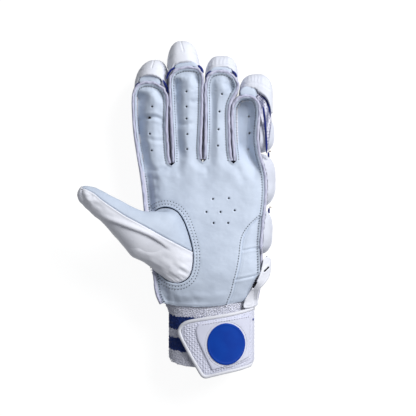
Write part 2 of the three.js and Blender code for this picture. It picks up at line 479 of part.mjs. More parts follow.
const bindingSection = new THREE.Shape(Array.from({ length: 6 }, (_, k) => new THREE.Vector2(STRAP.binding * Math.cos((k * Math.PI) / 3), STRAP.binding * Math.sin((k * Math.PI) / 3))));
add("strap_binding", new THREE.ExtrudeGeometry(bindingSection, { steps: 36, bevelEnabled: false, extrudePath: new THREE.CatmullRomCurve3(rimLine, false, "centripetal") }), LOOKS.moulded);

const faceHeight = (x, grow) => wristPoint(angleOfX(x, grow), 0, grow).z;
function faceLayer(outline, low, high, nx) {
  const xs = outline.map(([x]) => x);
  const x0 = Math.min(...xs) - 1, x1 = Math.min(CUFF.cx + CUFF.rx + 3.2, Math.max(...xs) + 1);
  const sheet = toSolid(layer(x0, x1, nx, -160, -80, 1, (x) => faceHeight(x, high), (x) => faceHeight(x, low)));
  return largest(sheet.intersect(toSolid(prism(outline, 20, 80))));
}
const panelLow = strapOut + 0.55, panelHigh = panelLow + 0.9;
add("strap_panel", toGeometry(faceLayer(PANEL, panelLow, panelHigh, 18)), LOOKS.moulded);
const disc = Array.from({ length: 32 }, (_, k) => [BADGE.x + BADGE.rx * Math.cos((k * Math.PI) / 16), BADGE.y + BADGE.ry * Math.sin((k * Math.PI) / 16)]);
add("badge", toGeometry(faceLayer(disc, panelHigh + GAP, panelHigh + GAP + BADGE.thick, 12)), LOOKS.badge);

// ---------------------------------------------------------------- wrist flap
const flapTop = (x, y) => palmTop(x, y) + 0.4 - 15 * Math.max(0, (x - 69) / 14) ** 2;
const flap = toSolid(layer(58, 84, 10, -90, -38, 8, flapTop, (x, y) => flapTop(x, y) - LEATHER - Math.max(0, (x - 70) / 14) * 2)).intersect(toSolid(prism(FLAP, 0, 100)));
add("wrist_flap", toGeometry(largest(flap)), LOOKS.whiteLeather);

// the origin is under the middle of the glove, on the surface that it rests on
const bounds = new THREE.Box3().setFromObject(placed);
placed.position.set(-(bounds.min.x + bounds.max.x) / 2, -(bounds.min.y + bounds.max.y) / 2, -bounds.min.z);

export default glove;
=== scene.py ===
# Cricket batting glove for the left hand, lying on its padded back with the palm up.
# Shapes are worked out in millimetres in the drawing frame below and put into the row frame at the end.
import math
import bpy
import numpy as np
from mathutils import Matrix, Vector


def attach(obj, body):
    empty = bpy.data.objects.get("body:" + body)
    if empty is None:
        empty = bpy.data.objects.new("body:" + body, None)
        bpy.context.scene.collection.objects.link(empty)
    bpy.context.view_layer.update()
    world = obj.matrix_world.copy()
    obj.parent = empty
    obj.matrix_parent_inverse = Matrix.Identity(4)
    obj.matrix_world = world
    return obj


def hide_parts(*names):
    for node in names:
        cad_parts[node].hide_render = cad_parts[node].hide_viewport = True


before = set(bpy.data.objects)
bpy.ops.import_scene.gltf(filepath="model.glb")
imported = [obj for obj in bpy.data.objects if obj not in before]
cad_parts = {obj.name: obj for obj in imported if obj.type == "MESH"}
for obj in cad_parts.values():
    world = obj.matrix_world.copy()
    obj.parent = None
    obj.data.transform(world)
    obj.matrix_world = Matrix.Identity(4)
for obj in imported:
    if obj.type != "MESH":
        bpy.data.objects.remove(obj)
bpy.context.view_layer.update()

SHIFT = np.array([-0.1, -0.4116, 0.0])  # drawing frame to row frame, mm
RNG = np.random.default_rng(20261)

# ------------------------------------------------------------------ driving tables, mm
GAP, LEATHER, GUSSET = 0.35, 2.0, 1.6
HAND_MID_X, ARCH = 27.0, 0.0012
H_Y = np.array([-90, -70, -50, -25, 0, 45, 80, 105, 150], float)
H_FLOOR = np.array([6.3, 9.0, 13.0, 16.3, 17.0, 17.0, 19.0, 22.0, 27.0])
H_PALM = np.array([50.0, 50.6, 50.0, 47.4, 44.0, 40.6, 41.4, 43.6, 48.5])
INDEX = [[-14.9, -83.6], [-18.7, -75.2], [-20.4, -64.7], [-21.9, -51.5], [-24.1, -36.5], [-26.8, -18.9], [-29.2, -0.4], [-30.9, 17.2], [-33.1, 33.0], [-36.0, 49.7], [-38.4, 65.6], [-39.7, 80.5], [-40.0, 94.6], [-39.4, 103.4], [-36.9, 109.1], [-32.0, 111.9], [-25.0, 112.9], [-18.0, 111.1], [-12.4, 107.4], [-9.2, 101.6], [-8.3, 92.8], [-8.6, 81.4], [-8.8, 70.0], [-8.1, 56.8], [-7.2, 46.2], [-6.0, 40.9]]
MIDDLE = [[-4.6, 41.4], [-4.8, 52.4], [-5.5, 65.6], [-6.2, 78.8], [-6.7, 89.3], [-7.2, 100.8], [-7.6, 110.4], [-6.7, 117.0], [-3.3, 122.3], [2.3, 124.9], [9.3, 125.8], [16.4, 125.0], [20.9, 121.9], [22.7, 115.7], [22.6, 105.2], [22.4, 92.0], [22.0, 78.8], [21.4, 65.6], [20.9, 52.4], [21.6, 44.4]]
RING = [[23.1, 44.4], [23.7, 52.4], [24.1, 65.6], [24.3, 78.8], [24.2, 92.0], [23.9, 103.4], [24.5, 112.2], [27.1, 118.4], [31.8, 121.6], [38.4, 122.6], [45.4, 121.0], [51.0, 117.0], [53.6, 110.4], [52.8, 103.8], [49.7, 98.6], [47.1, 92.8], [46.1, 85.8], [46.3, 74.4], [46.6, 61.2], [47.3, 50.6], [48.8, 43.1]]
LITTLE = [[50.0, 42.9], [49.1, 52.4], [48.2, 62.9], [47.7, 74.4], [47.5, 84.9], [48.2, 91.1], [51.4, 97.2], [55.1, 100.1], [61.2, 101.1], [67.0, 99.9], [71.2, 95.9], [72.9, 89.3], [73.0, 82.3], [72.0, 71.7], [71.6, 62.9], [72.7, 52.4], [75.3, 41.8], [78.0, 31.2], [78.8, 17.2], [78.0, 4.0], [76.6, -6.6], [75.2, -19.8], [74.4, -32.1], [74.7, -41.8], [74.9, -49.7], [74.4, -60.3], [72.7, -71.7], [70.5, -83.2]]
FINGERS = {"index": INDEX, "middle": MIDDLE, "ring": RING, "little": LITTLE}
CROTCHES = [[-5.3, 38.6], [22.4, 41.6], [49.4, 40.4]]
PALM_END = [[69.2, -59.4], [64.3, -69.5], [59.7, -79.3], [48.9, -82.5], [38.7, -84.2], [26.0, -85.3], [12.8, -85.5], [-1.2, -84.9]]
HEEL_SEAM = [[79.4, -2.4], [76.4, -4.4], [70.9, -8.4], [63.9, -15.0], [58.6, -22.9], [56.8, -29.5], [55.8, -40.0], [53.8, -51.5], [50.9, -62.9], [48.4, -73.5], [45.8, -80.1], [43.5, -87.0]]
THUMB_HOLE = [[-23.7, -11.0], [-21.0, -2.2], [-15.3, 1.5], [-7.4, 2.0], [0.0, -1.6], [4.9, -7.9], [8.9, -17.2], [12.4, -28.6], [14.3, -40.3], [13.1, -53.2], [9.3, -60.7], [1.4, -64.7], [-8.3, -62.9], [-16.6, -55.0], [-20.6, -40.0], [-23.0, -25.1]]
HOLES = [[31.3, 9.2], [45.1, 9.9], [25.5, -2.2], [37.9, -2.2], [50.3, -0.7], [31.7, -11.9], [44.5, -11.9],
         [-22.5, 90.8], [-24.6, 80.9], [-24.5, 66.8], [-22.8, 52.1], [7.9, 103.8], [7.9, 90.6], [7.9, 80.0], [8.6, 66.4], [8.4, 53.2],
         [39.1, 101.6], [36.9, 86.3], [36.1, 70.6], [35.6, 56.2], [63.4, 82.8], [64.2, 67.8], [63.0, 53.7]]
HOLE_R = 0.95


def px(x, y):
    """A place read off the reference view, in its pixels, as drawing millimetres."""
    return [(x - 177.4) * 0.88, (209.5 - y) * 0.88]


# ------------------------------------------------------------------ numeric helpers
def hermite(ty, tv, y):
    y = np.clip(np.asarray(y, float), ty[0], ty[-1])
    i = np.clip(np.searchsorted(ty, y, side="right") - 1, 0, len(ty) - 2)
    lo, hi = np.maximum(np.arange(len(ty)) - 1, 0), np.minimum(np.arange(len(ty)) + 1, len(ty) - 1)
    slope = (tv[hi] - tv[lo]) / (ty[hi] - ty[lo])
    h = ty[i + 1] - ty[i]
    t = (y - ty[i]) / h
    t2, t3 = t * t, t * t * t
    return (2 * t3 - 3 * t2 + 1) * tv[i] + (t3 - 2 * t2 + t) * h * slope[i] + (3 * t2 - 2 * t3) * tv[i + 1] + (t3 - t2) * h * slope[i + 1]


def arch_at(x):
    return ARCH * np.minimum(55.0 ** 2, (np.asarray(x, float) - HAND_MID_X) ** 2)


def palm_top(x, y):
    return hermite(H_Y, H_PALM, y) - arch_at(x)


def droop(x, y):
    """The palm's lower corners bend down to the cuff."""
    x, y = np.asarray(x, float), np.asarray(y, float)
    side = 0.75 * smooth(30, 62, x) + smooth(22, -12, x)
    return (6.5 * side + 0.5 * (1 - side)) * smooth(-56, -86, y)


def floor_top(x, y):
    return hermite(H_Y, H_FLOOR, y) + arch_at(x)


def smooth(a, b, t):
    t = np.clip((np.asarray(t, float) - a) / (b - a), 0, 1)
    return t * t * (3 - 2 * t)


def bump(t, width):
    return np.exp(-(np.asarray(t, float) / width) ** 2)


def noise(x, y=0.0, z=0.0, seed=0):
    """Smooth value noise from -1 to 1, one cell a unit."""
    x, y, z = np.broadcast_arrays(np.asarray(x, float), np.asarray(y, float), np.asarray(z, float))
    ix, iy, iz = np.floor(x).astype(np.int64), np.floor(y).astype(np.int64), np.floor(z).astype(np.int64)
    f = [x - ix, y - iy, z - iz]
    u = [t * t * t * (t * (t * 6 - 15) + 10) for t in f]
    out = np.zeros(x.shape)
    for dx in (0, 1):
        for dy in (0, 1):
            for dz in (0, 1):
                n = ((ix + dx) * 1619 + (iy + dy) * 31337 + (iz + dz) * 6971 + seed * 1013) & 0x7FFFFFFF
                n = n ^ (n >> 13)
                n = (n * ((n * n * 15731 + 789221) & 0x7FFFFFFF) + 1376312589) & 0x7FFFFFFF
                w = (u[0] if dx else 1 - u[0]) * (u[1] if dy else 1 - u[1]) * (u[2] if dz else 1 - u[2])
                out += w * (n / 0x7FFFFFFF)
    return out * 2 - 1


def curve(points, step=1.0, closed=False):
    """Points evenly spaced on the smooth curve through the given ones."""
    p = np.asarray(points, float)
    n = len(p)
    fine = []
    count = n if closed else n - 1
    for i in range(count):
        p0 = p[(i - 1) % n] if closed or i > 0 else 2 * p[0] - p[1]
        p1, p2 = p[i], p[(i + 1) % n]
        p3 = p[(i + 2) % n] if closed or i + 2 < n else 2 * p[-1] - p[-2]
        t1 = max(1e-6, np.linalg.norm(p1 - p0) ** 0.5)
        t2 = t1 + max(1e-6, np.linalg.norm(p2 - p1) ** 0.5)
        t3 = t2 + max(1e-6, np.linalg.norm(p3 - p2) ** 0.5)
        t = np.linspace(t1, t2, 13)[:-1, None]
        a1 = (t1 - t) / t1 * p0 + t / t1 * p1
        a2 = (t2 - t) / (t2 - t1) * p1 + (t - t1) / (t2 - t1) * p2
        a3 = (t3 - t) / (t3 - t2) * p2 + (t - t2) / (t3 - t2) * p3
        b1 = (t2 - t) / t2 * a1 + t / t2 * a2
        b2 = (t3 - t) / (t3 - t1) * a2 + (t - t1) / (t3 - t1) * a3
        fine.append((t2 - t) / (t2 - t1) * b1 + (t - t1) / (t2 - t1) * b2)
    fine = np.concatenate(fine + [p[:1] if closed else p[-1:]])
    s = np.concatenate([[0], np.cumsum(np.linalg.norm(np.diff(fine, axis=0), axis=1))])
    m = max(2, int(round(s[-1] / step)) + 1)
    at = np.linspace(0, s[-1], m)
    out = np.stack([np.interp(at, s, fine[:, k]) for k in range(p.shape[1])], 1)
    return out[:-1] if closed else out


def moved(path, distance):
    """The open path moved sideways, to its left where distance is positive."""
    p = np.asarray(path, float)
    d = np.gradient(p, axis=0)
    d /= np.maximum(1e-9, np.linalg.norm(d, axis=1))[:, None]
    return p + np.stack([-d[:, 1], d[:, 0]], 1) * np.asarray(distance, float).reshape(-1, 1)


def field(x, y, pts, closed=True):
    """Distance to a line, the place along it, and for a closed one whether a point is inside."""
    p = np.asarray(pts, float)
    q = np.roll(p, -1, 0) if closed else p[1:]
    p = p if closed else p[:-1]
    length = np.linalg.norm(q - p, axis=1)
    start = np.concatenate([[0], np.cumsum(length)[:-1]])
    best, s, inside = np.full(x.shape, 1e18), np.zeros(x.shape), np.zeros(x.shape, bool)
    for a, b, l, s0 in zip(p, q, length, start):
        if l < 1e-9:
            continue
        dx, dy = b - a
        t = np.clip(((x - a[0]) * dx + (y - a[1]) * dy) / (l * l), 0, 1)
        d2 = (x - a[0] - t * dx) ** 2 + (y - a[1] - t * dy) ** 2
        m = d2 < best
        best = np.where(m, d2, best)
        s = np.where(m, s0 + t * l, s)
        if closed and dy:
            inside ^= ((a[1] > y) != (b[1] > y)) & (x < dx * (y - a[1]) / dy + a[0])
    return np.sqrt(best), s, inside


def signed(x, y, pts):
    d, _, inside = field(x, y, pts)
    return np.where(inside, d, -d)


# ------------------------------------------------------------------ mesh helpers
def build(name, verts, faces, materials, face_material=None, sharp=False):
    verts = (np.asarray(verts, float) + SHIFT) / 1000
    mesh = bpy.data.meshes.new(name)
    mesh.from_pydata(verts.tolist(), [], [tuple(int(i) for i in f) for f in faces])
    for m in materials if isinstance(materials, (list, tuple)) else [materials]:
        mesh.materials.append(m)
    if face_material is not None:
        mesh.polygons.foreach_set("material_index", np.asarray(face_material, np.int32))
    mesh.polygons.foreach_set("use_smooth", np.full(len(mesh.polygons), not sharp))
    mesh.update()
    mesh.validate()
    ob = bpy.data.objects.new(name, mesh)
    bpy.context.scene.collection.objects.link(ob)
    return ob


def place(ob, slot, *nodes, fill=None):
    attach(ob, "root")
    if nodes:
        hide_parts(*nodes)
    return ob


def grid_faces(rows, cols, ring=False, flip=False, start=0):
    i = np.arange(rows - 1)[:, None]
    j = np.arange(cols if ring else cols - 1)[None, :]
    a = i * cols + j
    b = i * cols + (j + 1) % cols
    f = np.stack([a, b, b + cols, a + cols], -1).reshape(-1, 4) + start
    return f[:, ::-1] if flip else f


def region(h, x0, x1, y0, y1, inside_distance):
    """Flat mesh of the region where inside_distance(x, y) is positive, cut cleanly along its edge."""
    nx, ny = int(math.ceil((x1 - x0) / h)) + 1, int(math.ceil((y1 - y0) / h)) + 1
    gx, gy = np.meshgrid(x0 + np.arange(nx) * h, y0 + np.arange(ny) * h)
    d = inside_distance(gx.ravel(), gy.ravel()).reshape(ny, nx)
    d = np.where(np.abs(d) < 0.06 * h, np.where(d >= 0, 0.06 * h, -0.06 * h), d)
    ins = d > 0
    number = np.full((ny, nx), -1)
    keep = np.argwhere(ins)
    number[ins] = np.arange(len(keep))
    verts = [np.stack([gx[ins], gy[ins]], 1)]
    count = len(keep)
    full = ins[:-1, :-1] & ins[:-1, 1:] & ins[1:, 1:] & ins[1:, :-1]
    some = (ins[:-1, :-1] | ins[:-1, 1:] | ins[1:, 1:] | ins[1:, :-1]) & ~full
    fi, fj = np.nonzero(full)
    faces = np.stack([number[fi, fj], number[fi, fj + 1], number[fi + 1, fj + 1], number[fi + 1, fj]], 1).tolist()
    cut, extra = {}, []

    def crossing(a, b):
        key = (a, b) if a < b else (b, a)
        if key not in cut:
            da, db = d[a], d[b]
            t = da / (da - db)
            extra.append([gx[a] + t * (gx[b] - gx[a]), gy[a] + t * (gy[b] - gy[a])])
            cut[key] = count + len(extra) - 1
        return cut[key]

    for i, j in zip(*np.nonzero(some)):
        corners = [(i, j), (i, j + 1), (i + 1, j + 1), (i + 1, j)]
        poly = []
        for k in range(4):
            a, b = corners[k], corners[(k + 1) % 4]
            if ins[a]:
                poly.append(int(number[a]))
            if ins[a] != ins[b]:
                poly.append(crossing(a, b))
        if len(poly) >= 3:
            faces.append(poly)
    if extra:
        verts.append(np.array(extra))
    return np.concatenate(verts), faces


def rim_edges(faces):
    seen = {}
    for f in faces:
        for a, b in zip(f, list(f[1:]) + [f[0]]):
            key = (a, b) if a < b else (b, a)
            seen[key] = None if key in seen else (a, b)
    return [e for e in seen.values() if e is not None]


def skirt(verts, faces, drops):
    """Adds walls under the open edge of a sheet, one band for each (down, in) pair of drops."""
    edges = rim_edges(faces)
    rim = sorted({v for e in edges for v in e})
    where = {v: k for k, v in enumerate(rim)}
    out = np.zeros((len(rim), 2))
    for a, b in edges:
        t = verts[b, :2] - verts[a, :2]
        nrm = np.array([t[1], -t[0]]) / max(1e-9, np.linalg.norm(t))
        out[where[a]] += nrm
        out[where[b]] += nrm
    out /= np.maximum(1e-9, np.linalg.norm(out, axis=1))[:, None]
    faces = list(faces)
    last = {v: v for v in rim}
    for down, inward in drops:
        base = len(verts)
        new = verts[rim].copy()
        new[:, 2] -= down
        new[:, :2] -= out * inward
        verts = np.concatenate([verts, new])
        for a, b in edges:
            faces.append([last[b], last[a], base + where[a], base + where[b]])
        last = {v: base + where[v] for v in rim}
    return verts, faces


def sweep(centre, side, up, section, closed_path=False):
    """Rings of a section, (across, height) pairs, at points with given side and up directions."""
    c, s, u = np.asarray(centre, float), np.asarray(side, float), np.asarray(up, float)
    sec = np.asarray(section, float)
    if sec.ndim == 2:
        sec = np.broadcast_to(sec, (len(c),) + sec.shape)
    v = c[:, None, :] + s[:, None, :] * sec[:, :, :1] + u[:, None, :] * sec[:, :, 1:]
    return v.reshape(-1, 3), sec.shape[1]


def tube(points, radius, sides=8, flat=1.0, closed=False):
    """Verts and faces of a tube along 3-D points; flat squeezes it in height."""
    p = np.asarray(points, float)
    t = np.gradient(p, axis=0) if not closed else (np.roll(p, -1, 0) - np.roll(p, 1, 0))
    t /= np.maximum(1e-9, np.linalg.norm(t, axis=1))[:, None]
    up = np.array([0, 0, 1.0])
    side = np.cross(t, up)
    side /= np.maximum(1e-9, np.linalg.norm(side, axis=1))[:, None]
    top = np.cross(side, t)
    r = np.broadcast_to(np.asarray(radius, float), (len(p),))
    a = np.arange(sides) * 2 * math.pi / sides
    v = p[:, None, :] + r[:, None, None] * (side[:, None, :] * np.cos(a)[None, :, None] + flat * top[:, None, :] * np.sin(a)[None, :, None])
    v = v.reshape(-1, 3)
    faces = grid_faces(len(p), sides, ring=True).tolist()
    if closed:
        n = len(p)
        for j in range(sides):
            faces.append([(n - 1) * sides + j, (n - 1) * sides + (j + 1) % sides, (j + 1) % sides, j])
    else:
        faces.append(list(range(sides))[::-1])
        faces.append([(len(p) - 1) * sides + j for j in range(sides)])
    return v, faces


class Bits:
    """Many small closed bodies gathered in one mesh, such as stitches."""

    def __init__(self):
        self.v, self.f, self.n = [], [], 0

    def add(self, verts, faces):
        self.v.append(np.asarray(verts, float))
        self.f.extend([[i + self.n for i in f] for f in faces])
        self.n += len(verts)

    def stitch(self, middle, along, normal, length, radius):
        along = along / max(1e-9, np.linalg.norm(along))
        normal = normal / max(1e-9, np.linalg.norm(normal))
        side = np.cross(along, normal)
        rows = [(-0.5, 0.45, -0.25), (-0.3, 0.9, 0.35), (0.0, 1.0, 0.55), (0.3, 0.9, 0.35), (0.5, 0.45, -0.25)]
        ring = [(1, 0), (0.5, 0.87), (-0.5, 0.87), (-1, 0), (0, -0.9)]
        v = [middle + along * length * t + (side * cx + normal * cy) * radius * k + normal * radius * lift for t, k, lift in rows for cx, cy in ring]
        m = len(ring)
        f = grid_faces(len(rows), m, ring=True).tolist()
        f.append(list(range(m))[::-1])
        f.append([(len(rows) - 1) * m + j for j in range(m)])
        self.add(v, f)

    def build(self, name, material):
        return build(name, np.concatenate(self.v), self.f, material)


def sewn(bits, line, normal_at, pitch=2.3, length=1.5, radius=0.27, lift=0.0):
    """Stitches along a 3-D line. normal_at gives the surface normal at an array of points."""
    line = np.asarray(line, float)
    s = np.concatenate([[0], np.cumsum(np.linalg.norm(np.diff(line, axis=0), axis=1))])
    count = int(s[-1] / pitch)
    if count < 1:
        return
    at = (np.arange(count) + 0.5) * s[-1] / count
    mid = np.stack([np.interp(at, s, line[:, k]) for k in range(3)], 1)
    a = np.stack([np.interp(np.maximum(at - 0.6, 0), s, line[:, k]) for k in range(3)], 1)
    b = np.stack([np.interp(np.minimum(at + 0.6, s[-1]), s, line[:, k]) for k in range(3)], 1)
    nrm = normal_at(mid)
    for m, t, n in zip(mid, b - a, nrm):
        bits.stitch(m + n * lift, t, n, length, radius)


# ------------------------------------------------------------------ materials
def material(name, base, rough, recipe=None, spec=0.5):
    m = bpy.data.materials.new(name)
    m.use_nodes = True
    n, l = m.node_tree.nodes, m.node_tree.links
    b = n["Principled BSDF"]
    b.inputs["Base Color"].default_value = (*base, 1)
    b.inputs["Roughness"].default_value = rough
    b.inputs["Specular IOR Level"].default_value = spec
    if recipe:
        recipe(n, l, b)
    return m


def coords(n):
    return n.new("ShaderNodeTexCoord").outputs["Object"]


def tex_noise(n, l, scale, detail=3.0, rough=0.5, stretch=None):
    t = n.new("ShaderNodeTexNoise")
    t.inputs["Scale"].default_value = scale
    t.inputs["Detail"].default_value = detail
    t.inputs["Roughness"].default_value = rough
    if stretch:
        mp = n.new("ShaderNodeMapping")
        mp.inputs["Scale"].default_value = stretch
        l.new(coords(n), mp.inputs["Vector"])
        l.new(mp.outputs["Vector"], t.inputs["Vector"])
    else:
        l.new(coords(n), t.inputs["Vector"])
    return t.outputs["Fac"]


def tex_cells(n, l, scale, feature="DISTANCE_TO_EDGE"):
    t = n.new("ShaderNodeTexVoronoi")
    t.feature = feature
    t.inputs["Scale"].default_value = scale
    l.new(coords(n), t.inputs["Vector"])
    return t.outputs["Distance"]


def ramp(n, l, fac, stops):
    r = n.new("ShaderNodeValToRGB")
    e = r.color_ramp.elements
    e[0].position, e[0].color = stops[0][0], (*stops[0][1], 1)
    e[1].position, e[1].color = stops[-1][0], (*stops[-1][1], 1)
    for p, c in stops[1:-1]:
        x = e.new(p)
        x.color = (*c, 1)
    l.new(fac, r.inputs["Fac"])
    return r.outputs["Color"]


def ranged(n, l, fac, lo, hi, a=0.0, b=1.0):
    r = n.new("ShaderNodeMapRange")
    r.inputs["From Min"].default_value, r.inputs["From Max"].default_value = a, b
    r.inputs["To Min"].default_value, r.inputs["To Max"].default_value = lo, hi
    l.new(fac, r.inputs["Value"])
    return r.outputs["Result"]


def bumped(n, l, b, heights, strength=0.5):
    """heights: list of (socket, distance in metres); they are laid one on another."""
    last = None
    for h, dist in heights:
        u = n.new("ShaderNodeBump")
        u.inputs["Strength"].default_value = strength
        u.inputs["Distance"].default_value = dist
        l.new(h, u.inputs["Height"])
        if last:
            l.new(last, u.inputs["Normal"])
        last = u.outputs["Normal"]
    l.new(last, b.inputs["Normal"])


def leather(dark, light, lo, hi, grain=1500.0, depth=0.00006):
    def recipe(n, l, b):
        big = tex_noise(n, l, 55, 4)
        l.new(ramp(n, l, big, [(0.35, dark), (0.62, light)]), b.inputs["Base Color"])
        fine = tex_noise(n, l, 420, 3)
        l.new(ranged(n, l, fine, lo, hi, 0.3, 0.7), b.inputs["Roughness"])
        cells = tex_cells(n, l, grain)
        pores = tex_noise(n, l, 2600, 2)
        creases = tex_noise(n, l, 160, 5, 0.65, (1.0, 2.4, 1.0))
        bumped(n, l, b, [(creases, 0.00022), (cells, depth), (pores, depth * 0.8)], 0.55)
    return recipe


def cloth(color_a, color_b, pitch, depth=0.0001, rough=0.85):
    """A woven or mesh cloth of small square cells."""
    def recipe(n, l, b):
        sep = n.new("ShaderNodeSeparateXYZ")
        l.new(coords(n), sep.inputs["Vector"])
        waves = []
        for axis in ("X", "Y", "Z"):
            mul = n.new("ShaderNodeMath")
            mul.operation = "MULTIPLY"
            mul.inputs[1].default_value = 2 * math.pi / pitch
            l.new(sep.outputs[axis], mul.inputs[0])
            s = n.new("ShaderNodeMath")
            s.operation = "SINE"
            l.new(mul.outputs[0], s.inputs[0])
            waves.append(s.outputs[0])
        a = n.new("ShaderNodeMath")
        a.operation = "MULTIPLY"
        l.new(waves[0], a.inputs[0])
        l.new(waves[1], a.inputs[1])
        c = n.new("ShaderNodeMath")
        c.operation = "ADD"
        l.new(a.outputs[0], c.inputs[0])
        l.new(waves[2], c.inputs[1])
        h = ranged(n, l, c.outputs[0], 0.0, 1.0, -1.6, 1.6)
        spots = tex_noise(n, l, 900, 2)
        l.new(ramp(n, l, h, [(0.2, color_a), (0.6, color_b)]), b.inputs["Base Color"])
        l.new(ranged(n, l, spots, rough - 0.08, rough + 0.08, 0.3, 0.7), b.inputs["Roughness"])
        b.inputs["Sheen Weight"].default_value = 0.25
        bumped(n, l, b, [(h, depth), (spots, depth * 0.7)], 0.6)
    return recipe


def plastic(dark, light, lo, hi):
    def recipe(n, l, b):
        big = tex_noise(n, l, 90, 3)
        l.new(ramp(n, l, big, [(0.35, dark), (0.65, light)]), b.inputs["Base Color"])
        fine = tex_noise(n, l, 1500, 2)
        l.new(ranged(n, l, fine, lo, hi, 0.3, 0.7), b.inputs["Roughness"])
        bumped(n, l, b, [(fine, 0.00003)], 0.4)
    return recipe


M_PALM = material("palm_leather_blue_grey", (0.5, 0.57, 0.68), 0.6, leather((0.475, 0.54, 0.65), (0.53, 0.6, 0.715), 0.54, 0.68), 0.35)
M_WHITE = material("white_leather", (0.72, 0.735, 0.8), 0.5, leather((0.69, 0.705, 0.77), (0.745, 0.76, 0.825), 0.44, 0.58, 1100.0, 0.00007), 0.2)
M_PAD = material("white_padded_cover", (0.64, 0.665, 0.745), 0.5, leather((0.625, 0.65, 0.73), (0.665, 0.69, 0.765), 0.5, 0.62, 1300.0, 0.00004), 0.12)
# A lighter copy of the padded white for the index and middle caps: painted light, brightening caps that lie in shade.
M_PAD_PAINTED_LIGHT = material("white_padded_cover_caps_painted_light", (0.7, 0.72, 0.79), 0.5, leather((0.685, 0.705, 0.775), (0.72, 0.74, 0.81), 0.5, 0.62, 1300.0, 0.00004), 0.12)
# A darker copy of the padded white for the big side rolls: painted shade, holding down their sides that face the lamp.
M_PAD_PAINTED_SHADE = material("white_padded_cover_side_painted_shade", (0.575, 0.6, 0.68), 0.5, leather((0.56, 0.585, 0.665), (0.595, 0.62, 0.7), 0.5, 0.62, 1300.0, 0.00004), 0.1)
# The palm's blue-grey leather made about a tenth darker for the thumb: painted shade, as the thumb faces the lamp.
M_PALM_THUMB_PAINTED_SHADE = material("thumb_leather_blue_grey_painted_shade", (0.455, 0.52, 0.62), 0.6, leather((0.43, 0.49, 0.59), (0.48, 0.545, 0.65), 0.54, 0.68), 0.3)
M_EDGE = material("gusset_bound_edge", (0.48, 0.49, 0.63), 0.8, cloth((0.4, 0.41, 0.55), (0.52, 0.53, 0.67), 0.0011))
M_MESH = material("gusset_cloth", (0.62, 0.62, 0.72), 0.85, cloth((0.42, 0.42, 0.52), (0.68, 0.68, 0.77), 0.0017, 0.0002))
M_LINING = material("lining_cloth", (0.55, 0.56, 0.62), 0.9, cloth((0.45, 0.46, 0.52), (0.6, 0.61, 0.66), 0.0013))
M_NAVY = material("navy_cloth", (0.006, 0.014, 0.13), 0.8, cloth((0.004, 0.009, 0.09), (0.009, 0.02, 0.18), 0.0014), 0.2)
M_BLUE = material("blue_tape", (0.01, 0.03, 0.3), 0.6, cloth((0.007, 0.02, 0.22), (0.014, 0.045, 0.36), 0.0012))
M_BACK = material("back_blue_cloth", (0.02, 0.05, 0.3), 0.85, cloth((0.012, 0.03, 0.2), (0.03, 0.07, 0.38), 0.0018, 0.0002))
M_THREAD = material("grey_thread", (0.08, 0.09, 0.12), 0.7, lambda n, l, b: (l.new(ramp(n, l, tex_noise(n, l, 3000, 2), [(0.4, (0.03, 0.033, 0.045)), (0.6, (0.08, 0.088, 0.11))]), b.inputs["Base Color"]), bumped(n, l, b, [(tex_noise(n, l, 5000, 2, 0.5, (1, 1, 3)), 0.00008)])))
M_THREAD_PALE = material("pale_thread", (0.34, 0.34, 0.42), 0.7, lambda n, l, b: (l.new(ramp(n, l, tex_noise(n, l, 3000, 2), [(0.4, (0.26, 0.26, 0.33)), (0.6, (0.42, 0.42, 0.5))]), b.inputs["Base Color"]), bumped(n, l, b, [(tex_noise(n, l, 5000, 2, 0.5, (1, 1, 3)), 0.00008)])))
# Near-black for the insides of the punched holes and the flap's slots: painted shade.
M_PIT_PAINTED_SHADE = material("punched_hole_painted_shade", (0.012, 0.012, 0.015), 0.9, lambda n, l, b: l.new(ramp(n, l, tex_noise(n, l, 900, 2), [(0.4, (0.006, 0.006, 0.008)), (0.6, (0.02, 0.02, 0.024))]), b.inputs["Base Color"]))

# ------------------------------------------------------------------ the palm's outline and relief
INNER = 2.3  # the leather starts this far inside the gusset's outer edge
PATHS = {k: curve(v, 1.0) for k, v in FINGERS.items()}
inner_paths = {k: moved(v, -INNER) for k, v in PATHS.items()}
little_stop = int(np.argmax((inner_paths["little"][:, 0] > 60) & (inner_paths["little"][:, 1] < -57)))
palm_line = np.concatenate([
    inner_paths["index"], [CROTCHES[0]], inner_paths["middle"], [CROTCHES[1]], inner_paths["ring"], [CROTCHES[2]],
    inner_paths["little"][:little_stop], curve(PALM_END, 2.0)])
thumb_line = curve(THUMB_HOLE, 1.2, closed=True)
heel_line = curve(HEEL_SEAM, 2.0)
outer_line = np.concatenate([PATHS["index"], [CROTCHES[0]], PATHS["middle"], [CROTCHES[1]], PATHS["ring"], [CROTCHES[2]], PATHS["little"]])

